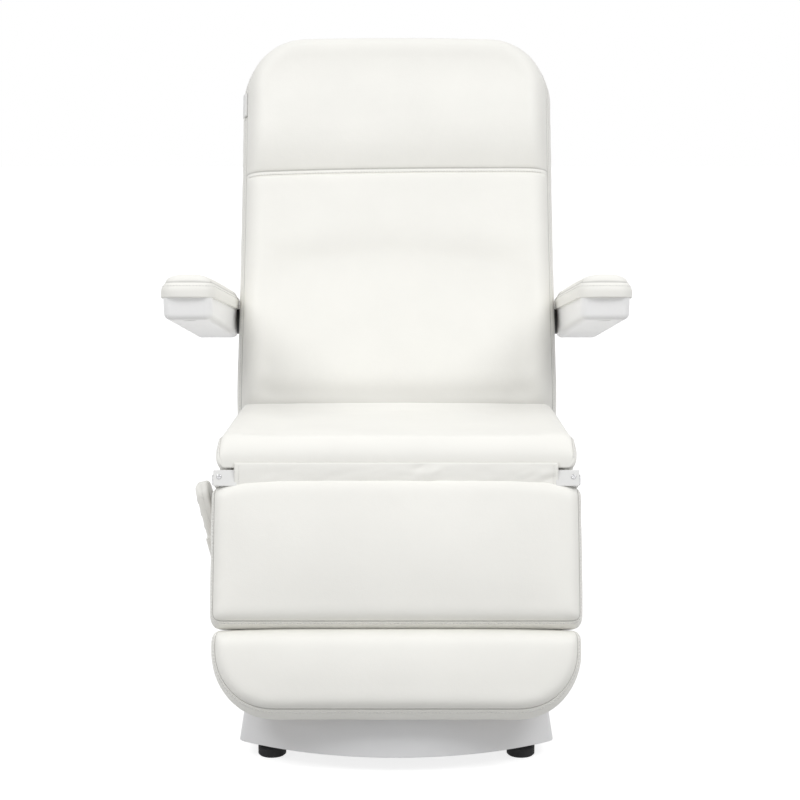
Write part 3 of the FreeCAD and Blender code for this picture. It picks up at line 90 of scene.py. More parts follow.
# Places and leans of the moving frames, as in the part
BACK_LEAN = math.radians(23.5)
LEG_HANG = math.radians(18.0)
ARM_TILT = math.radians(8.3)
JOINT_PLACE = {joint["name"]: np.array(joint["pos_m"]) for joint in frame["joints"] if "pos_m" in joint}
UP = np.array((0.0, 0.0, 1.0))
ACROSS = np.array((1.0, 0.0, 0.0))
REARWARD = np.array((0.0, 1.0, 0.0))
BACK_ALONG = np.array((0.0, math.sin(BACK_LEAN), math.cos(BACK_LEAN)))
BACK_OUT = np.array((0.0, -math.cos(BACK_LEAN), math.sin(BACK_LEAN)))
LEG_ALONG = np.array((0.0, -math.sin(LEG_HANG), -math.cos(LEG_HANG)))
LEG_OUT = np.array((0.0, -math.cos(LEG_HANG), math.sin(LEG_HANG)))
ARM_ALONG = np.array((0.0, -math.cos(ARM_TILT), math.sin(ARM_TILT)))
ARM_OUT = np.array((0.0, math.sin(ARM_TILT), math.cos(ARM_TILT)))

# Upholstery
CELL = 0.013  # spacing of a panel's points away from its edges
EDGE_STEPS = (0.0, 0.0014, 0.0034, 0.0066, 0.0115, 0.0185, 0.0280, 0.0400)
EDGE_SHARE = 0.7  # share of half the panel that these steps may take up
EDGE_HALVINGS = 44  # steps of the search for the seam line
TRIM_POWER = 6  # the higher, the closer to the edge the grid follows its outline
TINY = 1e-9
BAND_STEPS = (0.02, 0.08, 0.15, 0.23, 0.33, 0.45, 0.58, 0.71, 0.84, 0.93, 1.0)
BACK_RINGS = (0.90, 0.60, 0.28)
SEAM_DEPTH = 0.0044
# share of the leather's colour left where painted shade darkens the seams
SEAM_SHADE = 0.62
GROW = 0.0040  # allowance for what subdivision rounds off
STITCH_PITCH = 0.0056
STITCH_LENGTH = 0.0038
STITCH_RADIUS = 0.0009
STITCH_FROM_SEAM = 0.0070
STITCH_RINGS = ((0.0, 0.45), (0.22, 1.0), (0.78, 1.0), (1.0, 0.45))  # place along a stitch, share of its radius
STITCH_SIDES = 6
STITCH_PROUD = (0.0003, 0.0001)  # how far a row stands off the boxing, outwards and up
SEWN_SHARE = 0.55  # how square to the length an edge has to be to count as sewn
ROLL_FOOT = 0.09  # share of the height at which a rolled start leaves the back
CROWN_FALL = 0.85  # share of the crown that falls away towards the sides
BOW_LIMIT = 1.1
HELD_EDGE = 0.006  # distance from the seam within which the cloth run moves nothing
SWELL_CAP = 0.010
SWELL_FRAMES = 20
SWELL_PRESSURE = 4.0

# Unevenness of the leather: scales of a coarse and a fine noise, share of the fine one, and its reach
PUCKER_SCALES, PUCKER_FINE = (62.0, 130.0), 0.7
PUCKER_RUN, PUCKER_START = 0.016, 0.004
RIPPLE_SCALE, RIPPLE_START = 9.0, 0.05
GATHER_SCALES, GATHER_FINE, GATHER_SEED = (85.0, 190.0), 0.8, 5.0
GATHER_HEIGHT, GATHER_START = 0.0009, 0.03
GATHER_BELOW, GATHER_ABOVE, GATHER_CLEAR = 0.020, 0.012, 0.006
BULGE_SCALES, BULGE_FINE, BULGE_HEIGHT = (26.0, 80.0), 0.5, 0.0009


def quarter_round(share):
    """Height of a rounded edge, 0 at the edge and 1 where it has become flat."""
    share = np.clip(share, 0.0, 1.0)
    return np.sqrt(1.0 - (1.0 - share) ** 2)


def smooth_step(share):
    """Smooth way from 0 to 1."""
    share = np.clip(share, 0.0, 1.0)
    return share * share * (3.0 - 2.0 * share)


def noise_at(points, scale, seed):
    """Smooth noise from -1 to 1 at an array of points."""
    shift = Vector((seed * 3.7, seed * 1.9, seed * 5.3))
    return np.array([noise.noise(Vector(p) * scale + shift) for p in points])


def two_noises(points, scales, fine, first_seed, second_seed):
    """A coarse noise and a share of a finer one."""
    return noise_at(points, scales[0], first_seed) + fine * noise_at(points, scales[1], second_seed)


# Materials: every one is built from noise, cell or wave textures in the piece's own coordinates


class Shader:
    """A principled surface with its texture nodes."""

    def __init__(self, name):
        self.material = bpy.data.materials.new(name)
        self.material.use_nodes = True
        self.tree = self.material.node_tree
        self.surface = self.tree.nodes["Principled BSDF"]
        self.coordinates = self.node("ShaderNodeTexCoord").outputs["Object"]

    def node(self, kind, **values):
        made = self.tree.nodes.new(kind)
        for key, value in values.items():
            setattr(made, key, value)
        return made

    def link(self, source, target):
        self.tree.links.new(source, target)

    def stretched(self, scale):
        """Coordinates stretched along the axes."""
        mapping = self.node("ShaderNodeMapping")
        mapping.inputs["Scale"].default_value = scale
        self.link(self.coordinates, mapping.inputs["Vector"])
        return mapping.outputs["Vector"]

    def noise(self, scale, detail=3.0, rough=0.55, vector=None):
        made = self.node("ShaderNodeTexNoise")
        made.inputs["Scale"].default_value = scale
        made.inputs["Detail"].default_value = detail
        made.inputs["Roughness"].default_value = rough
        self.link(vector or self.coordinates, made.inputs["Vector"])
        return made.outputs["Fac"]

    def cells(self, scale, feature="F1", vector=None):
        made = self.node("ShaderNodeTexVoronoi", feature=feature)
        made.inputs["Scale"].default_value = scale
        self.link(vector or self.coordinates, made.inputs["Vector"])
        return made.outputs["Distance"]

    def wave(self, scale, direction, distortion=0.0, vector=None):
        made = self.node("ShaderNodeTexWave", bands_direction=direction)
        made.inputs["Scale"].default_value = scale
        made.inputs["Distortion"].default_value = distortion
        self.link(vector or self.coordinates, made.inputs["Vector"])
        return made.outputs["Fac"]

    def ramp(self, source, low, high, start=0.3, end=0.7):
        """Blend from one colour to another as the source goes from start to end."""
        made = self.node("ShaderNodeValToRGB")
        made.color_ramp.elements[0].position = start
        made.color_ramp.elements[1].position = end
        made.color_ramp.elements[0].color = (*low, 1.0)
        made.color_ramp.elements[1].color = (*high, 1.0)
        self.link(source, made.inputs["Fac"])
        return made.outputs["Color"]

    def span(self, source, low, high):
        """A number that goes from low to high with the source."""
        made = self.node("ShaderNodeMapRange")
        made.inputs["From Min"].default_value = 0.25
        made.inputs["From Max"].default_value = 0.75
        made.inputs["To Min"].default_value = low
        made.inputs["To Max"].default_value = high
        self.link(source, made.inputs["Value"])
        return made.outputs["Result"]

    def mix(self, share, first, second, kind="MIX"):
        made = self.node("ShaderNodeMix", data_type="RGBA", blend_type=kind)
        if isinstance(share, float):
            made.inputs[0].default_value = share
        else:
            self.link(share, made.inputs[0])
        self.link(first, made.inputs[6])
        self.link(second, made.inputs[7])
        return made.outputs[2]

    def worn_edges(self, radius):
        """Rounded normals at the edges, and a mask that is 1 on them."""
        bevel = self.node("ShaderNodeBevel", samples=6)
        bevel.inputs["Radius"].default_value = radius
        plain = self.node("ShaderNodeNewGeometry").outputs["Normal"]
        dot = self.node("ShaderNodeVectorMath", operation="DOT_PRODUCT")
        self.link(bevel.outputs["Normal"], dot.inputs[0])
        self.link(plain, dot.inputs[1])
        mask = self.node("ShaderNodeMapRange")
        mask.inputs["From Min"].default_value = 1.0
        mask.inputs["From Max"].default_value = 0.80
        self.link(dot.outputs["Value"], mask.inputs["Value"])
        return bevel.outputs["Normal"], mask.outputs["Result"]

    def bump(self, source, strength, distance, normal=None):
        made = self.node("ShaderNodeBump")
        made.inputs["Strength"].default_value = strength
        made.inputs["Distance"].default_value = distance
        self.link(source, made.inputs["Height"])
        if normal is not None:
            self.link(normal, made.inputs["Normal"])
        return made.outputs["Normal"]

    def set(self, **values):
        for key, value in values.items():
            socket = self.surface.inputs[key.replace("_", " ")]
            if isinstance(value, bpy.types.NodeSocket):
                self.link(value, socket)
            else:
                socket.default_value = value


def scaled(colour, share):
    """A colour made darker or lighter."""
    return tuple(min(1.0, part * share) for part in colour)


def leather(name, colour):
    """Satin artificial leather: fine pebble grain, faint creases, and painted shade that darkens the seams."""
    made = Shader(name)
    blotch = made.noise(7.0, 4.0)
    tone = made.ramp(blotch, scaled(colour, 0.975), scaled(colour, 1.012))
    pores = made.cells(620.0)
    dust = made.ramp(pores, scaled(colour, 1.0), (0.93, 0.92, 0.90), 0.02, 0.5)
    worn = made.mix(0.10, tone, dust, "MULTIPLY")
    # Painted shade: where the seam attribute is 1, along the sewn seams and the head seam, the colour turns
    # darker, as the shade in their grooves would.
    seam = made.node("ShaderNodeAttribute", attribute_name="seam").outputs["Fac"]
    painted_seam_colour = made.ramp(made.noise(90.0), scaled(colour, SEAM_SHADE * 0.94), scaled(colour, SEAM_SHADE))
    made.set(Base_Color=made.mix(seam, worn, painted_seam_colour))
    made.set(Roughness=made.span(made.noise(38.0, 3.0), 0.44, 0.56))
    creases = made.bump(made.noise(55.0, 5.0, 0.62), 0.20, 0.0016)
    grain = made.bump(pores, 0.16, 0.00045, creases)
    made.set(Normal=made.bump(made.noise(1900.0, 2.0), 0.10, 0.0002, grain))
    made.surface.inputs["Specular IOR Level"].default_value = 0.42
    made.surface.inputs["Sheen Weight"].default_value = 0.06
    made.surface.inputs["Sheen Roughness"].default_value = 0.5
    return made.material


def thread(name, colour):
    """Sewing thread: a twist across each stitch."""
    made = Shader(name)
    twist = made.wave(900.0, "DIAGONAL", 1.5)
    made.set(Base_Color=made.ramp(twist, scaled(colour, 0.86), colour, 0.2, 0.8))
    made.set(Roughness=made.span(made.noise(300.0), 0.55, 0.75))
    made.set(Normal=made.bump(twist, 0.5, 0.0003))
    made.surface.inputs["Sheen Weight"].default_value = 0.2
    return made.material


def moulded(name, colour, rough=(0.30, 0.42), grain=(900.0, 0.10, 0.0003), edge=0.0016, lift=1.05, coat=0.0):
    """Moulded plastic: fine texture, faint flow marks, rubbed edges."""
    made = Shader(name)
    flow = made.noise(5.0, 4.0, 0.6, made.stretched((1.0, 0.6, 1.8)))
    tone = made.ramp(flow, scaled(colour, 0.965), scaled(colour, 1.02))
    normal, edges = made.worn_edges(edge)
    rubbed = made.ramp(made.noise(40.0), scaled(colour, lift * 0.97), scaled(colour, lift))
    made.set(Base_Color=made.mix(edges, tone, rubbed))
    made.set(Roughness=made.span(made.noise(24.0, 3.0), *rough))
    made.set(Normal=made.bump(made.noise(grain[0], 2.0), grain[1], grain[2], normal))
    made.surface.inputs["Specular IOR Level"].default_value = 0.45
    made.surface.inputs["Coat Weight"].default_value = coat
    return made.material


def painted(name, colour, rough=(0.30, 0.42)):
    """Powder paint on steel: orange peel, slightly darker rubbed edges."""
    made = Shader(name)
    tone = made.ramp(made.noise(6.0, 4.0), scaled(colour, 0.95), scaled(colour, 1.02))
    normal, edges = made.worn_edges(0.0012)
    rubbed = made.ramp(made.noise(70.0, 4.0), scaled(colour, 0.80), scaled(colour, 0.97), 0.35, 0.6)
    made.set(Base_Color=made.mix(edges, tone, rubbed))
    made.set(Roughness=made.span(made.noise(30.0), *rough))
    made.set(Normal=made.bump(made.noise(420.0, 1.0), 0.14, 0.0004, normal))
    return made.material


def metal(name, colour, rough, streak=(40.0, 40.0, 900.0)):
    """Turned or drawn steel: fine streaks, brighter rubbed edges."""
    made = Shader(name)
    lines = made.noise(1.0, 4.0, 0.6, made.stretched(streak))
    tone = made.ramp(lines, scaled(colour, 0.88), scaled(colour, 1.04))
    normal, edges = made.worn_edges(0.0008)
    bright = made.ramp(made.noise(90.0), scaled(colour, 1.05), scaled(colour, 1.3))
    made.set(Base_Color=made.mix(edges, tone, bright))
    made.set(Metallic=1.0)
    made.set(Roughness=made.span(lines, *rough))
    made.set(Normal=made.bump(lines, 0.08, 0.0002, normal))
    return made.material


def rubber(name, colour):
    """Matt moulded rubber with a little dust."""
    made = Shader(name)
    dust = made.noise(120.0, 5.0, 0.7)
    made.set(Base_Color=made.ramp(dust, colour, scaled(colour, 2.2), 0.5, 0.85))
    made.set(Roughness=made.span(made.noise(60.0), 0.62, 0.82))
    normal = made.worn_edges(0.0012)[0]
    made.set(Normal=made.bump(made.noise(1200.0, 2.0), 0.2, 0.0003, normal))
    made.surface.inputs["Specular IOR Level"].default_value = 0.35
    return made.material


def plywood(name, light, dark):
    """Birch plywood: stretched grain on the faces."""
    made = Shader(name)
    grain = made.noise(1.0, 6.0, 0.6, made.stretched((70.0, 5.0, 5.0)))
    fibre = made.noise(1.0, 3.0, 0.6, made.stretched((900.0, 30.0, 30.0)))
    figure = made.ramp(grain, dark, light, 0.32, 0.66)
    fine = made.ramp(fibre, (0.90, 0.88, 0.85), (1.0, 1.0, 1.0))
    made.set(Base_Color=made.mix(0.6, figure, fine, "MULTIPLY"))
    made.set(Roughness=made.span(grain, 0.55, 0.72))
    made.set(Normal=made.bump(fibre, 0.25, 0.0004))
    return made.material


LEATHER_COLOUR = (0.915, 0.908, 0.868)
MATERIALS = {
    "leather": leather("leather", LEATHER_COLOUR),
    "base_plastic": moulded("base_plastic", (0.845, 0.85, 0.86), (0.34, 0.46)),
    "arm_plastic": moulded("arm_plastic", (0.95, 0.95, 0.95), (0.30, 0.40)),
    "white_paint": painted("white_paint", (0.84, 0.84, 0.83)),
    "steel": metal("steel", (0.62, 0.62, 0.63), (0.24, 0.40)),
    "dark_steel": metal("dark_steel", (0.24, 0.24, 0.25), (0.34, 0.50)),
    "black_plastic": moulded("black_plastic", (0.045, 0.045, 0.047), (0.38, 0.52), lift=1.8),
    "drive_grey": moulded("drive_grey", (0.36, 0.37, 0.38), (0.40, 0.55), lift=1.15),
    "rubber": rubber("rubber", (0.016, 0.016, 0.017)),
    "plywood": plywood("plywood", (0.70, 0.53, 0.34), (0.54, 0.37, 0.21)),
    "handset_grey": moulded("handset_grey", (0.88, 0.87, 0.83), (0.40, 0.52)),
    "button_grey": moulded("button_grey", (0.70, 0.70, 0.69), (0.45, 0.60), edge=0.0006),
}
THREAD = thread("thread", (0.90, 0.895, 0.87))
TAG_CLOTH = leather("tag_cloth", (0.90, 0.90, 0.89))

for row in frame["record"]["subparts"]:
    node_mesh = frame["nodes"][row["node"]].data
    node_mesh.materials.clear()
    node_mesh.materials.append(MATERIALS[row["material_slot"]])


# Mesh helpers


def mesh_object(name, points, faces, material, smooth=True):
    data = bpy.data.meshes.new(name)
    data.from_pydata([tuple(p) for p in points], [], faces)
    data.polygons.foreach_set("use_smooth", [smooth] * len(data.polygons))
    data.materials.append(material)
    data.update()
    piece = bpy.data.objects.new(name, data)
    bpy.context.scene.collection.objects.link(piece)
    return piece


def subdivided(piece, levels=1):
    modifier = piece.modifiers.new("round", "SUBSURF")
    modifier.levels = levels
    modifier.render_levels = levels


def coordinates_of(piece):
    values = np.zeros(len(piece.data.vertices) * 3)
    piece.data.vertices.foreach_get("co", values)
    return values.reshape(-1, 3)


def set_coordinates(piece, points):
    piece.data.vertices.foreach_set("co", points.ravel())
    piece.data.update()


def swell(piece, free, cap):
    """Blow the free points out with a cloth run, and keep each within the cap of where it was."""
    rest = coordinates_of(piece)
    group = piece.vertex_groups.new(name="pin")
    for index, share in enumerate(1.0 - free):
        group.add([index], float(share), "REPLACE")
    modifier = piece.modifiers.new("cloth", "CLOTH")
    settings = modifier.settings
    settings.vertex_group_mass = "pin"
    settings.quality = 5
    settings.mass = 0.25
    settings.tension_stiffness = 30.0
    settings.compression_stiffness = 30.0
    settings.shear_stiffness = 12.0
    settings.bending_stiffness = 1.5
    settings.use_pressure = True
    settings.uniform_pressure_force = SWELL_PRESSURE
    settings.effector_weights.gravity = 0.0
    modifier.collision_settings.use_collision = False
    modifier.point_cache.frame_start = 1
    modifier.point_cache.frame_end = SWELL_FRAMES
    scene = bpy.context.scene
    for step in range(1, SWELL_FRAMES + 1):
        scene.frame_set(step)
    graph = bpy.context.evaluated_depsgraph_get()
    blown = piece.evaluated_get(graph)
    moved = coordinates_of(blown) - rest
    piece.modifiers.remove(modifier)
    piece.vertex_groups.remove(group)
    scene.frame_set(1)
    reach = np.linalg.norm(moved, axis=1)
    share = np.minimum(1.0, cap / np.maximum(reach, TINY))
    set_coordinates(piece, rest + moved * (share * free)[:, None])


def stitches(name, runs, material, pitch=STITCH_PITCH, length=STITCH_LENGTH, radius=STITCH_RADIUS):
    """Rows of single stitches, small rounded bars, along polylines of points."""
    points, faces = [], []
    rings, sides = STITCH_RINGS, STITCH_SIDES
    for run in runs:
        steps = np.linalg.norm(np.diff(run, axis=0), axis=1)
        travel = np.concatenate(([0.0], np.cumsum(steps)))
        count = int((travel[-1] - length) / pitch)
        for k in range(max(0, count)):
            ends = [k * pitch, k * pitch + length]
            a, b = (np.array([np.interp(e, travel, run[:, axis]) for axis in range(3)]) for e in ends)
            way = (b - a) / max(np.linalg.norm(b - a), TINY)
            side = np.cross(way, UP if abs(way[2]) < 0.9 else ACROSS)
            side /= np.linalg.norm(side)
            lift = np.cross(side, way)
            first = len(points)
            for along, girth in rings:
                for turn in range(sides):
                    angle = 2 * math.pi * turn / sides
                    around = math.cos(angle) * side + math.sin(angle) * lift
                    points.append(a + (b - a) * along + radius * girth * around)
            for ring in range(len(rings) - 1):
                for turn in range(sides):
                    low = first + ring * sides
                    after = (turn + 1) % sides
                    faces.append((low + turn, low + after, low + sides + after, low + sides + turn))
            last = first + (len(rings) - 1) * sides
            faces.append(tuple(first + turn for turn in reversed(range(sides))))
            faces.append(tuple(last + turn for turn in range(sides)))
    return mesh_object(name, points, faces, material)


class Cushion:
    """An upholstered piece in its own frame: x across it, v along it, n out of its panel.

    The panel is sewn round its edge to a band, the boxing, which bulges down to the flat back.
    A start that rolls over has no seam: there the panel itself runs down to the back.
    """

    corners = (0.03, 0.03)  # plan corner radius at the start and at the end
    crown = 0.005  # how far the panel's middle stands out
    seam = 0.72  # height of the seam, as a share of the thickness
    groove = SEAM_DEPTH  # depth of the seam below the boxing's edge
    reach = 0.034  # how far in from the seam the panel's edge is rounded
    roll = 0.0  # length of a start that rolls over, 0 where the start has a seam
    bands = (0.008, 0.008, 0.008)  # width of the boxing seen from above: side, start, end
    peak = 0.75  # where the boxing stands out most, as a share of the way to the back
    tuck = 0.003  # how far it comes back in below that
    pull = 0.002  # how far the sides pull in between the corners
    pucker = 0.0009  # height of the puckers along the seams
    ripple = 0.0007  # height of the foam's slow unevenness
    seed = 1.0  # choice of the noise
    bow = 0.0  # how far the start edge stands out in its middle
    bow_power = 2  # the higher, the flatter that edge is before it falls off at its two corners
    arch = 0.0  # how far the end edge stands out in its middle
    tilt = 0.0  # how much higher the panel is at its start
    dome = 0.5  # share of the crown that falls away towards the two ends
    head_seam = None  # place of a seam sewn across the panel
    free_reach = 0.05  # distance from the seam at which the cloth moves freely
    thread = STITCH_RADIUS  # radius of its stitches

    def __init__(self, name, origin, along, out, start, end, half, face, back, **form):
        self.name = name
        self.origin, self.along, self.out = origin, along, out
        self.start, self.end, self.half, self.face = start, end, half, face
        self.back = back if callable(back) else lambda v: np.full_like(v, back)
        for key, value in form.items():
            setattr(self, key, value)
        side, low, high = self.bands
        self.low, self.high = start + low, end - high
        self.middle, self.length = (self.low + self.high) / 2, (self.high - self.low) / 2
        self.width = half + GROW - side

    def inside(self, x, v):
        """Distance in from the seam line."""
        share = np.clip((v - self.low) / (self.high - self.low), 0.0, 1.0)
        half = self.width - self.pull * 4.0 * share * (1.0 - share)
        first, last = self.corners
        turn = min(max(self.middle, self.low + first), self.high - last)
        radius = np.where(v > turn, last, first)
        over_x = np.abs(x) - half + radius
        over_v = np.where(v > turn, v - self.high + last, self.low + first - v)
        outer = np.hypot(np.maximum(over_x, 0.0), np.maximum(over_v, 0.0))
        return radius - outer - np.minimum(np.maximum(over_x, over_v), 0.0)

    def edge_point(self, x, v):
        """Where the ray from the middle through a point meets the seam line."""
        low, high = np.zeros_like(x), np.full_like(x, 1.5)
        for _ in range(EDGE_HALVINGS):
            mid = (low + high) / 2
            within = self.inside(x * mid, self.middle + v * mid) > 0.0
            low, high = np.where(within, mid, low), np.where(within, high, mid)
        return x * low, self.middle + v * low

    def levels(self, size):
        """Grid lines from -1 to 1, close together towards both edges."""
        edge = [1.0 - step / size for step in EDGE_STEPS if step < EDGE_SHARE * size]
        count = max(2, round(2 * edge[-1] * size / CELL))
        middle = np.linspace(-edge[-1], edge[-1], count + 1)[1:-1]
        return np.array([-e for e in edge] + list(middle) + edge[::-1])

    def beside(self, x, v):
        """Distance in from the sewn edges, which a rolled start isn't."""
        if self.roll:
            v = np.maximum(v, self.low + self.corners[0] + self.reach)
        return np.maximum(self.inside(x, v), 0.0)

    def rolled(self, v):
        """Share of the full height that a rolled start has reached."""
        if not self.roll:
            return np.ones_like(v)
        return ROLL_FOOT + (1.0 - ROLL_FOOT) * quarter_round((v - self.low) / self.roll)

    def seam_height(self, v):
        back = self.back(v)
        return back + (self.face + self.rise(v) - back) * self.seam * self.rolled(v)

    def rise(self, v):
        """Slope of the panel along the piece."""
        return self.tilt * (self.high - v) / (self.high - self.low)

    def swell_at(self, x, v):
        """Crown of the panel over its face."""
        along = (v - self.middle) / self.length
        aside = np.clip(x / self.width, -1, 1)
        crown = self.crown * (1.0 - CROWN_FALL * aside**2) * (1.0 - self.dome * along**2)
        return crown + self.rise(v) + self.head_form(v)

    def head_form(self, v):
        """Head roll turning under to its seam, the sewn band below it and the lower panel's edge."""
        if self.head_seam is None:
            return np.zeros_like(v)
        above = v - self.head_seam
        below = -above - HEAD_BAND
        under = 1.0 - np.clip(above / HEAD_ROLL_RUN, 0.0, 1.0)
        roll = HEAD_ROLL - (HEAD_ROLL + HEAD_DEPTH) * under**HEAD_ROLL_POWER
        band = -HEAD_DEPTH + HEAD_BAND_SWELL * np.sin(math.pi * np.clip(-above / HEAD_BAND, 0.0, 1.0))
        rise = -HEAD_DEPTH * (1.0 - quarter_round(below / HEAD_RISE_RUN))
        fold = -BAND_FOLD * np.exp(-((below / BAND_FOLD_WIDTH) ** 2))
        fold -= ROLL_FOLD * np.exp(-((above / ROLL_FOLD_WIDTH) ** 2))
        return np.where(above > 0, roll, np.where(below < 0, band, rise)) + fold

    def place(self, x, v, n):
        """Points in the chair's frame, with the two ends bowed out and the head seam a little slanted."""
        along = (v - self.middle) / self.length
        across = np.abs(np.clip(x / self.width, -1, 1))
        v = v - self.bow * (1.0 - across**self.bow_power) * np.clip(-along, 0.0, BOW_LIMIT) ** 2
        v = v + self.arch * (1.0 - across**2) * np.clip(along, 0.0, BOW_LIMIT) ** 2
        if self.head_seam is not None:
            near = np.exp(-(((v - self.head_seam) / HEAD_SLANT_RUN) ** 2))
            v = v + HEAD_SLANT * x * near
        return self.origin + np.outer(x, ACROSS) + np.outer(v, self.along) + np.outer(n, self.out)

    def build(self):
        """Mesh of panel, boxing and back, with what each of its points is."""
        across = self.levels(self.width)
        lengthways = self.levels(self.length)
        if self.head_seam is not None:
            extra = [(self.head_seam + step - self.middle) / self.length for step in HEAD_STEPS]
            kept = [b for b in lengthways if not extra[0] - HEAD_CLEAR < b < extra[-1] + HEAD_CLEAR]
            lengthways = np.array(sorted(kept + extra))
        columns, rows = len(across), len(lengthways)
        a, b = (grid.ravel() for grid in np.meshgrid(across, lengthways))
        ring = np.maximum(np.maximum(np.abs(a), np.abs(b)), 1e-6)
        box_x, box_v = a / ring * self.width, b / ring * self.length
        edge_x, edge_v = self.edge_point(box_x, box_v)
        trim = np.hypot(edge_x, edge_v - self.middle) / np.maximum(np.hypot(box_x, box_v), TINY)
        share = ring * (1.0 + (trim - 1.0) * ring**TRIM_POWER)
        x, v = box_x * share, self.middle + box_v * share
        depth = np.maximum(self.inside(x, v), 0.0)
        sewn_depth = self.beside(x, v)
        low = self.seam_height(v) - self.groove
        back = self.back(v)
        full = back + (self.face + self.swell_at(x, v) - back) * self.rolled(v)
        n = low + (full - low) * quarter_round(sewn_depth / self.reach)
        points = [self.place(x, v, n)]
        faces = []
        for row in range(rows - 1):
            for column in range(columns - 1):
                first = row * columns + column
                faces.append((first, first + 1, first + columns + 1, first + columns))
        border = list(range(columns))
        border += [row * columns + columns - 1 for row in range(1, rows)]
        border += [(rows - 1) * columns + column for column in range(columns - 2, -1, -1)]
        border += [row * columns for row in range(rows - 2, 0, -1)]
        border = np.array(border)
        bx, bv = x[border], v[border]
        step = 1e-4
        out_x = self.inside(bx - step, bv) - self.inside(bx + step, bv)
        out_v = self.inside(bx, bv - step) - self.inside(bx, bv + step)
        size = np.maximum(np.hypot(out_x, out_v), TINY)
        out_x, out_v = out_x / size, out_v / size
        side, start_band, end_band = self.bands
        band = side * out_x**2 + np.where(out_v > 0, end_band, start_band) * out_v**2
        sewn = np.where(out_v < 0, out_x**2, 1.0) if self.roll else np.ones_like(bx)
        back = self.back(bv)
        top = n[border] + self.groove * sewn
        band = band * np.sqrt(np.clip((top - back) / (self.seam_height(bv) - back).max(), 0.0, 1.0))
        previous = border
        total = len(x)
        self.band_rings = []
        for share in BAND_STEPS:
            swing = math.sin(math.pi / 2 * min(share / self.peak, 1.0))
            after = max(0.0, (share - self.peak) / (1.0 - self.peak)) if self.peak < 1.0 else 0.0
            offset = band * swing - self.tuck * after**2
            points.append(self.place(bx + out_x * offset, bv + out_v * offset, top + (back - top) * share))
            ring_ids = np.arange(total, total + len(border))
            faces += self.strip(previous, ring_ids)
            self.band_rings.append(ring_ids)
            previous = ring_ids
            total += len(border)
        end_x, end_v = bx + out_x * offset, bv + out_v * offset
        for share in BACK_RINGS:
            rx, rv = end_x * share, self.middle + (end_v - self.middle) * share
            points.append(self.place(rx, rv, self.back(rv)))
            ring_ids = np.arange(total, total + len(border))
            faces += self.strip(previous, ring_ids)
            previous = ring_ids
            total += len(border)
        centre = np.array([self.middle])
        points.append(self.place(np.zeros(1), centre, self.back(centre)))
        faces += [(previous[i], total, previous[(i + 1) % len(border)]) for i in range(len(border))]
        points = np.vstack(points)
        self.panel = np.arange(len(x))
        self.border, self.edges = border, (edge_x, edge_v)
        self.plan, self.depth, self.sewn_depth = (x, v), depth, sewn_depth
        self.band_normal = np.outer(out_x, ACROSS) + np.outer(out_v, self.along)
        self.border_sewn = sewn
        self.border_plan = (bx, bv)
        faces = [tuple(int(i) for i in reversed(face)) for face in faces]
        self.piece = mesh_object(self.name, points, faces, MATERIALS["leather"])
        # Painted shade: the seam attribute is 1 on the sewn border and along the head seam, where the leather
        # shader darkens the colour.
        painted_seam_share = np.zeros(len(points), np.float32)
        painted_seam_share[border] = self.border_sewn
        if self.head_seam is not None:
            across_seam = np.exp(-(((v - self.head_seam) / HEAD_SHADE_WIDTH) ** 2))
            painted_seam_share[self.panel] = np.maximum(painted_seam_share[self.panel], across_seam)
        self.piece.data.attributes.new("seam", "FLOAT", "POINT").data.foreach_set("value", painted_seam_share)
        return self.piece

    @staticmethod
    def strip(first, second):
        """Faces between two closed rings of points."""
        pairs = [(i, (i + 1) % len(first)) for i in range(len(first))]
        return [(first[i], second[i], second[k], first[k]) for i, k in pairs]

    def fill(self):
        """Cloth run that lets the panel swell between its seams."""
        free = np.zeros(len(self.piece.data.vertices))
        loose = smooth_step((self.depth - HELD_EDGE) / self.free_reach)
        if self.head_seam is not None:
            gap = np.abs(self.plan[1] - self.head_seam + HEAD_BAND / 2) - HEAD_BAND
            loose = loose * smooth_step(gap / HEAD_HELD)
        free[self.panel] = loose
        swell(self.piece, free, SWELL_CAP)

    def crease(self):
        """Puckers square to the seams, slow unevenness of the foam and a fuller or slacker boxing."""
        points = coordinates_of(self.piece)
        x, v = self.plan
        edge = np.column_stack((*self.edges, np.zeros_like(x)))
        flat = np.column_stack((x, v, np.zeros_like(x)))
        waves = two_noises(edge, PUCKER_SCALES, PUCKER_FINE, self.seed, self.seed + 1)
        near = np.exp(-self.sewn_depth / PUCKER_RUN) * quarter_round(self.sewn_depth / PUCKER_START)
        lift = self.pucker * waves * near
        slow = noise_at(flat, RIPPLE_SCALE, self.seed + 2)
        lift += self.ripple * slow * smooth_step(self.depth / RIPPLE_START)
        if self.head_seam is not None:
            line = np.column_stack((x, np.zeros_like(x), np.zeros_like(x)))
            gathers = two_noises(line, GATHER_SCALES, GATHER_FINE, GATHER_SEED, GATHER_SEED + 1)
            below = self.head_seam - HEAD_BAND - v
            above = np.abs(v - self.head_seam)
            fade = np.where(below > 0, np.exp(-below / GATHER_BELOW), np.exp(-above / GATHER_ABOVE))
            clear = smooth_step(above / GATHER_CLEAR)
            lift += GATHER_HEIGHT * gathers * fade * clear * smooth_step(self.depth / GATHER_START)
        points[self.panel] += np.outer(lift, self.out)
        waves = two_noises(edge[self.border], BULGE_SCALES, BULGE_FINE, self.seed + 3, self.seed)
        for share, ring in zip(BAND_STEPS, self.band_rings):
            bulge = BULGE_HEIGHT * math.sin(math.pi * share) * waves * self.border_sewn
            points[ring] += self.band_normal * bulge[:, None]
        set_coordinates(self.piece, points)

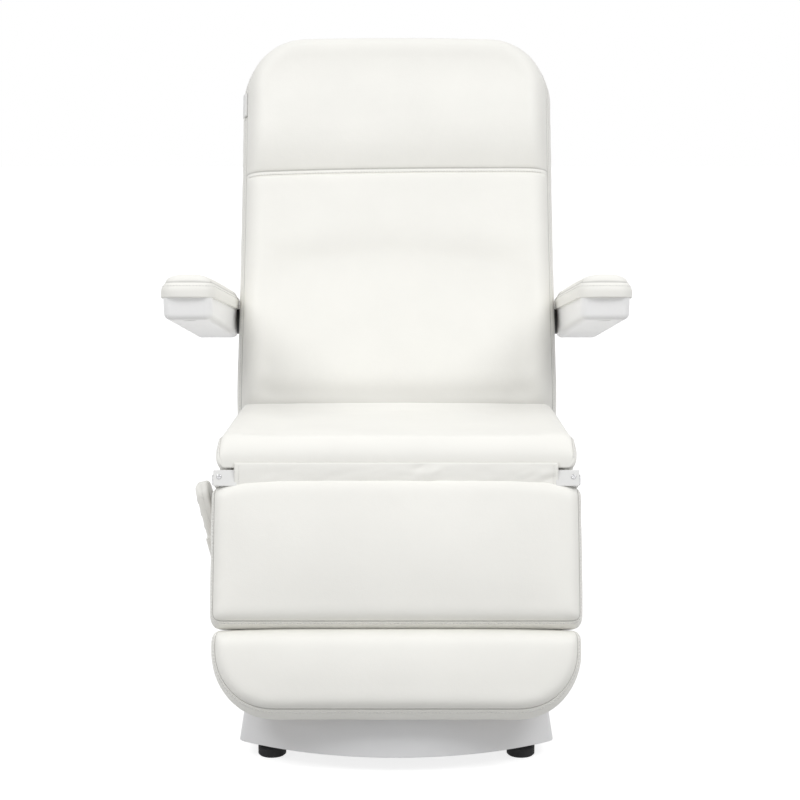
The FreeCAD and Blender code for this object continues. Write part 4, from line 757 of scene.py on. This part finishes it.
    def seam_runs(self, ring_number):
        """The sewn stretches of one ring of the boxing, as polylines a little proud of it."""
        points = coordinates_of(self.piece)[self.band_rings[ring_number]]
        points = points + self.band_normal * STITCH_PROUD[0] + self.out * STITCH_PROUD[1]
        sewn = self.border_sewn > SEWN_SHARE
        if sewn.all():
            return [np.vstack((points, points[:1]))]
        first = int(np.argmax(~sewn & np.roll(sewn, -1))) + 1
        points, sewn = np.roll(points, -first, axis=0), np.roll(sewn, -first)
        return [points[: int(np.argmin(sewn))]]

    def finish(self, node, body):
        """Whole making of the piece, tied to the solid that it stands for."""
        self.build()
        self.fill()
        self.crease()
        middle = np.array([self.middle])
        height = np.mean(np.abs(self.seam_height(middle) - self.back(middle)))
        wanted = STITCH_FROM_SEAM / (height + sum(self.bands) / 3)
        ring_number = int(np.argmin([abs(share - wanted) for share in BAND_STEPS]))
        runs = self.seam_runs(ring_number)
        if self.head_seam is not None:
            runs.append(self.head_run())
        subdivided(self.piece)
        rows = stitches(self.name + "_stitches", runs, THREAD, radius=self.thread)
        for made in (self.piece, rows):
            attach(made, body)
        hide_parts(node)
        return self.piece

    def tag(self, name, span, body):
        """Blank label sewn into the seam of the side at lowest x, lying on the boxing."""
        points = coordinates_of(self.piece)
        bx, bv = self.border_plan
        ids = np.flatnonzero(bx < -TAG_ASIDE * self.width)
        ids = ids[np.argsort(bv[ids])]
        places = np.linspace(*span, TAG_COLUMNS)
        rows = []
        for away, lift in TAG_FOLD:
            line = points[self.band_rings[0][ids]] + self.band_normal[ids] * away + self.out * lift
            rows.append(np.column_stack([np.interp(places, bv[ids], line[:, axis]) for axis in range(3)]))
        corners = [
            (row * TAG_COLUMNS + column, row * TAG_COLUMNS + column + 1)
            for row in range(len(TAG_FOLD) - 1) for column in range(TAG_COLUMNS - 1)
        ]
        faces = [(a, b, b + TAG_COLUMNS, a + TAG_COLUMNS) for a, b in corners]
        label = mesh_object(name, np.vstack(rows), faces, TAG_CLOTH)
        thick = label.modifiers.new("thickness", "SOLIDIFY")
        thick.thickness = TAG_THICKNESS
        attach(label, body)

    def head_run(self):
        """Top stitching on the band under the head roll."""
        points = coordinates_of(self.piece)
        x, v = self.plan
        target = self.head_seam - HEAD_BAND * HEAD_ROW_SHARE
        chosen = []
        columns = np.unique(np.round(x[np.abs(v - target) < HEAD_ROW_REACH], 4))
        for place in columns:
            near = np.argmin(np.abs(x - place) + HEAD_ROW_WEIGHT * np.abs(v - target))
            if self.depth[near] > HELD_EDGE:
                chosen.append(points[near] + self.out * HEAD_ROW_PROUD)
        return np.array(chosen)


# Head roll of the backrest
HEAD_SEAM = 0.528  # place along the backrest
HEAD_BAND = 0.010  # width of the sewn band below the seam
HEAD_BAND_SWELL = 0.0012
HEAD_DEPTH = 0.008  # how deep the band lies in the panel
HEAD_ROLL = 0.022  # how far the roll stands out
HEAD_ROLL_RUN = 0.105
HEAD_ROLL_POWER = 2.4
HEAD_RISE_RUN = 0.018
HEAD_HELD = 0.21  # distance from the seam within which the cloth run doesn't move the panel freely
HEAD_SLANT = 0.0142  # rise of the seam per metre across, fading along the backrest
HEAD_SLANT_RUN = 0.14
HEAD_CLEAR = 0.012  # share of half the length round the seam's own grid lines that holds no others
# width of the painted shade along the head seam
HEAD_SHADE_WIDTH = 0.0012
BAND_FOLD, BAND_FOLD_WIDTH = 0.0016, 0.0014  # fold between the band and the lower panel
ROLL_FOLD, ROLL_FOLD_WIDTH = 0.0024, 0.0016  # fold between the roll and the band
HEAD_ROW_SHARE = 0.72  # place of the top stitching, as a share of the band
HEAD_ROW_REACH = 0.004
HEAD_ROW_WEIGHT = 3.0
HEAD_ROW_PROUD = 0.0004
HEAD_STEPS = [
    -0.085, -0.070, -0.056, -0.044, -0.034, -0.026, -0.020, -0.0155, -0.0125, -0.0110, -0.0100, -0.0090,
    -0.0070, -0.0045, -0.0020, -0.0004, 0.0006, 0.0022, 0.0050, 0.0090, 0.0145, 0.0215, 0.0300, 0.0400, 0.0510,
]

# Blank label in the backrest's side seam
TAG_SPAN = (0.652, 0.700)
TAG_COLUMNS = 13
TAG_FOLD = [  # away from the boxing, and up
    (-0.001, 0.0006), (0.0016, 0.0020), (0.0036, 0.0016), (0.0050, -0.0004), (0.0066, -0.0045), (0.0090, -0.0110),
]
TAG_ASIDE = 0.9  # share of half the width beyond which the side seam lies
TAG_THICKNESS = 0.0008

SEAT_LIP_FRONT = -0.388
SEAT_LIP_RUN = 0.130
SEAT_LIP_RISE = 0.0415
SEAT_BOTTOM = 0.4525


def seat_back(v):
    """Underside of the seat, which rises to its rolled front."""
    return SEAT_BOTTOM + SEAT_LIP_RISE * (1.0 - smooth_step((v - SEAT_LIP_FRONT) / SEAT_LIP_RUN))


seat_low, seat_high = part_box("seat_cushion")
back_half, leg_half, foot_half = (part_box(node)[1].x for node in ("back_cushion", "leg_cushion", "foot_cushion"))
leg_hinge = JOINT_PLACE["leg_raise"] * (0, 1, 1)
back_hinge = JOINT_PLACE["recline"] * (0, 1, 1)

Cushion(
    "seat_upholstery", np.zeros(3), REARWARD, UP,
    start=seat_low.y, end=seat_high.y, half=seat_high.x + 0.003, face=0.525, back=seat_back,
    corners=(0.006, 0.010), crown=0.006, tilt=0.022, seam=0.92, reach=0.013, roll=0.046,
    bands=(0.0095, 0.0, 0.003), peak=0.42, tuck=0.006, pull=0.0, ripple=0.0012, seed=2.0,
).finish("seat_cushion", "seat")

back = Cushion(
    "back_upholstery", back_hinge, BACK_ALONG, BACK_OUT,
    start=0.020, end=0.808, half=back_half + 0.0035, face=0.069, back=-0.0145,
    corners=(0.016, 0.112), crown=0.008, seam=0.67, reach=0.040, roll=0.095,
    bands=(0.0110, 0.0, 0.001), arch=0.007, head_seam=HEAD_SEAM, ripple=0.0012, seed=3.0,
)
back.finish("back_cushion", "backrest")
back.tag("seam_tag", TAG_SPAN, "backrest")

Cushion(
    "leg_upholstery", leg_hinge, LEG_ALONG, LEG_OUT,
    start=0.0125, end=0.2432, half=leg_half, face=0.0205, back=-0.0275,
    corners=(0.008, 0.012), crown=0.011, dome=0.9, seam=0.74, reach=0.020, roll=0.022,
    bands=(0.007, 0.0, 0.013), peak=0.90, tuck=0.0, bow=0.024, bow_power=8, pull=0.0, seed=4.0,
).finish("leg_cushion", "leg_rest")

Cushion(
    "foot_upholstery", leg_hinge, LEG_ALONG, LEG_OUT,
    start=0.2445, end=0.3875, half=foot_half, face=0.0205, back=-0.0275,
    corners=(0.012, 0.094), crown=0.009, dome=0.8, seam=0.74, reach=0.018, roll=0.024,
    bands=(0.008, 0.0, 0.017), bow=0.004, bow_power=4, pull=0.0, seed=5.0,
).finish("foot_cushion", "footrest")

for side, pad_seed in (("left", 6.0), ("right", 7.0)):
    pad_low, pad_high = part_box("arm_pad_" + side)
    arm_hinge = JOINT_PLACE["arm_lift_" + side] * (0, 1, 1)
    middle_x = (pad_low.x + pad_high.x) / 2
    Cushion(
        "arm_upholstery_" + side, arm_hinge + ACROSS * middle_x, ARM_ALONG, ARM_OUT,
        start=-0.036, end=0.5285, half=(pad_high.x - pad_low.x) / 2 - 0.0012, face=0.0595, back=0.0228,
        corners=(0.022, 0.025), crown=0.009, seam=0.74, reach=0.018, bands=(0.0072, 0.0060, 0.0072),
        groove=0.0014, peak=0.56, tuck=0.0006, pull=0.0005, pucker=0.0006, free_reach=0.02,
        thread=0.0005, seed=pad_seed,
    ).finish("arm_pad_" + side, "arm_" + side)


# Leather flap over the gap between seat and leg rest
FLAP_PROFILE = np.array(
    [
        (-0.3895, 0.5045), (-0.3911, 0.4995), (-0.3923, 0.4940), (-0.3933, 0.4880), (-0.3940, 0.4820),
        (-0.3942, 0.4765), (-0.3936, 0.4710),
    ]
)
FLAP_DIP = 0.011  # how much lower it reaches at its two ends, round the bowed leg cushion
FLAP_CREASE = 0.0030
FLAP_WAVE = (26.0, 1.1, 1.6, 0.4)  # noise across the flap, its slant, down the flap, and its slice
FLAP_FINE, FLAP_FINE_SCALE = 0.6, 2.3
FLAP_CALM = 0.3  # how much it is creased away from the two places below
FLAP_BUSY, FLAP_BUSY_X, FLAP_BUSY_RUN = 0.9, 0.047, 0.03
FLAP_END_BUSY, FLAP_END_RUN = 0.8, 0.05
FLAP_STITCH = (0.0042, 0.0030, 0.00045)  # pitch, length and radius
FLAP_STITCH_PROUD = 0.0011
FLAP_COLUMNS = 220
FLAP_ROWS = 14
FLAP_THICKNESS = 0.0016
FLAP_HEM = 0.007


def flap():
    """Thin creased sheet from under the seat's front edge to behind the top of the leg cushion."""
    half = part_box("gap_flap")[1].x
    across, slanted, down, cut = FLAP_WAVE
    steps = np.linalg.norm(np.diff(FLAP_PROFILE, axis=0), axis=1)
    travel = np.concatenate(([0.0], np.cumsum(steps)))
    places = np.linspace(0.0, travel[-1], FLAP_ROWS)
    line = np.column_stack([np.interp(places, travel, FLAP_PROFILE[:, axis]) for axis in range(2)])
    points = []
    for row, (y, z) in enumerate(line):
        share = row / (FLAP_ROWS - 1)
        belly = math.sin(math.pi * share)
        for x in np.linspace(-half, half, FLAP_COLUMNS):
            wave = Vector((x * across + share * slanted, share * down, cut))
            fold = noise.noise(wave) + FLAP_FINE * noise.noise(wave * FLAP_FINE_SCALE)
            busy = FLAP_CALM + FLAP_BUSY * math.exp(-(((x - FLAP_BUSY_X) / FLAP_BUSY_RUN) ** 2))
            busy += FLAP_END_BUSY * math.exp(-(((x - half) / FLAP_END_RUN) ** 2))
            dip = FLAP_DIP * (x / half) ** 2 * share
            points.append((x, y - FLAP_CREASE * belly * fold * busy, z - dip))
    faces = []
    for row in range(FLAP_ROWS - 1):
        for column in range(FLAP_COLUMNS - 1):
            first = row * FLAP_COLUMNS + column
            faces.append((first, first + FLAP_COLUMNS, first + FLAP_COLUMNS + 1, first + 1))
    sheet = mesh_object("flap_leather", points, faces, MATERIALS["leather"])
    thick = sheet.modifiers.new("thickness", "SOLIDIFY")
    thick.thickness = FLAP_THICKNESS
    thick.offset = 0.0
    grid = np.array(points).reshape(FLAP_ROWS, FLAP_COLUMNS, 3)
    runs = []
    for edge in (-half + FLAP_HEM, half - FLAP_HEM):
        column = int(np.argmin(np.abs(grid[0, :, 0] - edge)))
        runs.append(grid[1:-1, column] - FLAP_STITCH_PROUD * REARWARD)
    rows = stitches("flap_stitches", runs, THREAD, *FLAP_STITCH)
    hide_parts("gap_flap")
    for made in (sheet, rows):
        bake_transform(made)


flap()


# Cover plates over the ends of the leg rest's hinge
PLATE_X = (0.2600, 0.2985)
PLATE_V = (-0.0145, 0.0120)
PLATE_N = (0.0124, 0.0146)
PLATE_ROUND = 0.0012
PLATE_CORNERS = ((0, 0), (1, 0), (1, 1), (0, 1))
SCREW_X, SCREW_V = 0.2890, -0.0035
SCREW_RINGS = ((0.0042, 0.0), (0.0042, 0.0009), (0.0034, 0.0017), (0.0018, 0.0019), (0.0016, 0.0006))
SCREW_SIDES = 18


def leg_place(x, v, n):
    """Point in the leg rest's own frame."""
    return leg_hinge + x * ACROSS + v * LEG_ALONG + n * LEG_OUT


def hinge_cover(name, way):
    """Plate with rounded edges, and the socket screw that holds it."""
    points = [leg_place(way * PLATE_X[i], PLATE_V[j], n) for n in PLATE_N for i, j in PLATE_CORNERS]
    faces = [(3, 2, 1, 0), (4, 5, 6, 7)]
    faces += [(k, (k + 1) % 4, 4 + (k + 1) % 4, 4 + k) for k in range(4)]
    if way < 0:
        faces = [tuple(reversed(face)) for face in faces]
    plate = mesh_object(name, points, faces, MATERIALS["white_paint"], smooth=False)
    bevel = plate.modifiers.new("round", "BEVEL")
    bevel.width = PLATE_ROUND
    bevel.segments = 3
    angles = [2 * math.pi * k / SCREW_SIDES for k in range(SCREW_SIDES)]
    ring = [(math.cos(angle), math.sin(angle)) for angle in angles]
    points = [
        leg_place(way * SCREW_X + radius * c, SCREW_V + radius * s, PLATE_N[1] + lift)
        for radius, lift in SCREW_RINGS for c, s in ring
    ]
    faces = [tuple(range(SCREW_SIDES)), tuple(reversed(range(len(points) - SCREW_SIDES, len(points))))]
    for level in range(len(SCREW_RINGS) - 1):
        for k in range(SCREW_SIDES):
            first = level * SCREW_SIDES + k
            after = level * SCREW_SIDES + (k + 1) % SCREW_SIDES
            faces.append((after, first, first + SCREW_SIDES, after + SCREW_SIDES))
    screw = mesh_object(name + "_screw", points, faces, MATERIALS["steel"])
    for made, slot in ((plate, "white_paint"), (screw, "steel")):
        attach(made, "leg_rest")


for side, side_way in (("left", -1), ("right", 1)):
    hinge_cover("hinge_cover_" + side, side_way)


# Stage: white floor, two soft lamps, an even surround and the camera


def stage():
    """Floor and the two lamps."""
    size = FLOOR_SIZE / 2
    floor = mesh_object(
        "floor", [(-size, -size, 0), (size, -size, 0), (size, size, 0), (-size, size, 0)], [(0, 1, 2, 3)],
        floor_material(), smooth=False,
    )
    target = Vector(LAMP_TARGET)
    azimuth, elevation = math.radians(LAMP_AZIMUTH_DEG), math.radians(LAMP_ELEVATION_DEG)
    for name, way in (("lamp_left", -1), ("lamp_right", 1)):
        light = bpy.data.lights.new(name, "AREA")
        light.shape = "DISK"
        light.size = LAMP_SIZE
        light.energy = LAMP_POWER
        lamp = bpy.data.objects.new(name, light)
        flat = math.cos(elevation)
        away = Vector((way * math.sin(azimuth) * flat, -math.cos(azimuth) * flat, math.sin(elevation)))
        lamp.location = target + away * LAMP_REACH
        lamp.rotation_euler = (-away).to_track_quat("-Z", "Y").to_euler()
        bpy.context.scene.collection.objects.link(lamp)


def background_rays(tree):
    """1 for rays that show the background: straight to the camera, reflected or seen through."""
    path = tree.nodes.new("ShaderNodeLightPath")
    total = path.outputs["Is Camera Ray"]
    for name in ("Is Glossy Ray", "Is Transmission Ray"):
        most = tree.nodes.new("ShaderNodeMath")
        most.operation = "MAXIMUM"
        tree.links.new(total, most.inputs[0])
        tree.links.new(path.outputs[name], most.inputs[1])
        total = most.outputs[0]
    return total


def floor_material():
    """White floor that the camera sees a little brighter, so that only its shadows show."""
    made = Shader("floor")
    tone = made.noise(1.5, 3.0)
    made.set(Base_Color=made.ramp(tone, (FLOOR_TONE - 0.01,) * 3, (FLOOR_TONE + 0.01,) * 3))
    made.set(Roughness=0.9, Specular_IOR_Level=0.0, Emission_Color=(1.0, 1.0, 1.0, 1.0))
    glow = made.node("ShaderNodeMath", operation="MULTIPLY")
    made.link(background_rays(made.tree), glow.inputs[0])
    glow.inputs[1].default_value = FLOOR_GLOW
    made.set(Emission_Strength=glow.outputs[0])
    return made.material


def world():
    """White background for the camera, and a surround that is brighter overhead for the light."""
    made = bpy.data.worlds.new("surround")
    made.use_nodes = True
    tree = made.node_tree
    background = tree.nodes["Background"]
    background.inputs["Color"].default_value = (1.0, 1.0, 1.0, 1.0)
    height = tree.nodes.new("ShaderNodeSeparateXYZ")
    tree.links.new(tree.nodes.new("ShaderNodeTexCoord").outputs["Generated"], height.inputs[0])
    sky = tree.nodes.new("ShaderNodeMapRange")
    sky.inputs["To Min"].default_value = HORIZON
    sky.inputs["To Max"].default_value = ZENITH
    tree.links.new(height.outputs["Z"], sky.inputs["Value"])
    level = tree.nodes.new("ShaderNodeMapRange")
    level.inputs["To Max"].default_value = 1.0
    tree.links.new(background_rays(tree), level.inputs["Value"])
    tree.links.new(sky.outputs["Result"], level.inputs["To Min"])
    tree.links.new(level.outputs["Result"], background.inputs["Strength"])
    bpy.context.scene.world = made


def camera():
    """Camera at the photographer's place."""
    data = bpy.data.cameras.new("photograph")
    data.sensor_width = SENSOR_MM
    data.lens = SENSOR_MM * FOCAL_PX / PHOTO_PX
    data.clip_end = CAMERA_CLIP
    eye = bpy.data.objects.new("photograph", data)
    eye.location = CAMERA_PLACE
    eye.rotation_euler = (math.radians(90.0 - CAMERA_PITCH_DEG), 0.0, 0.0)
    bpy.context.scene.collection.objects.link(eye)
    bpy.context.scene.camera = eye


stage()
world()
camera()
bpy.context.scene.view_settings.view_transform = "Standard"
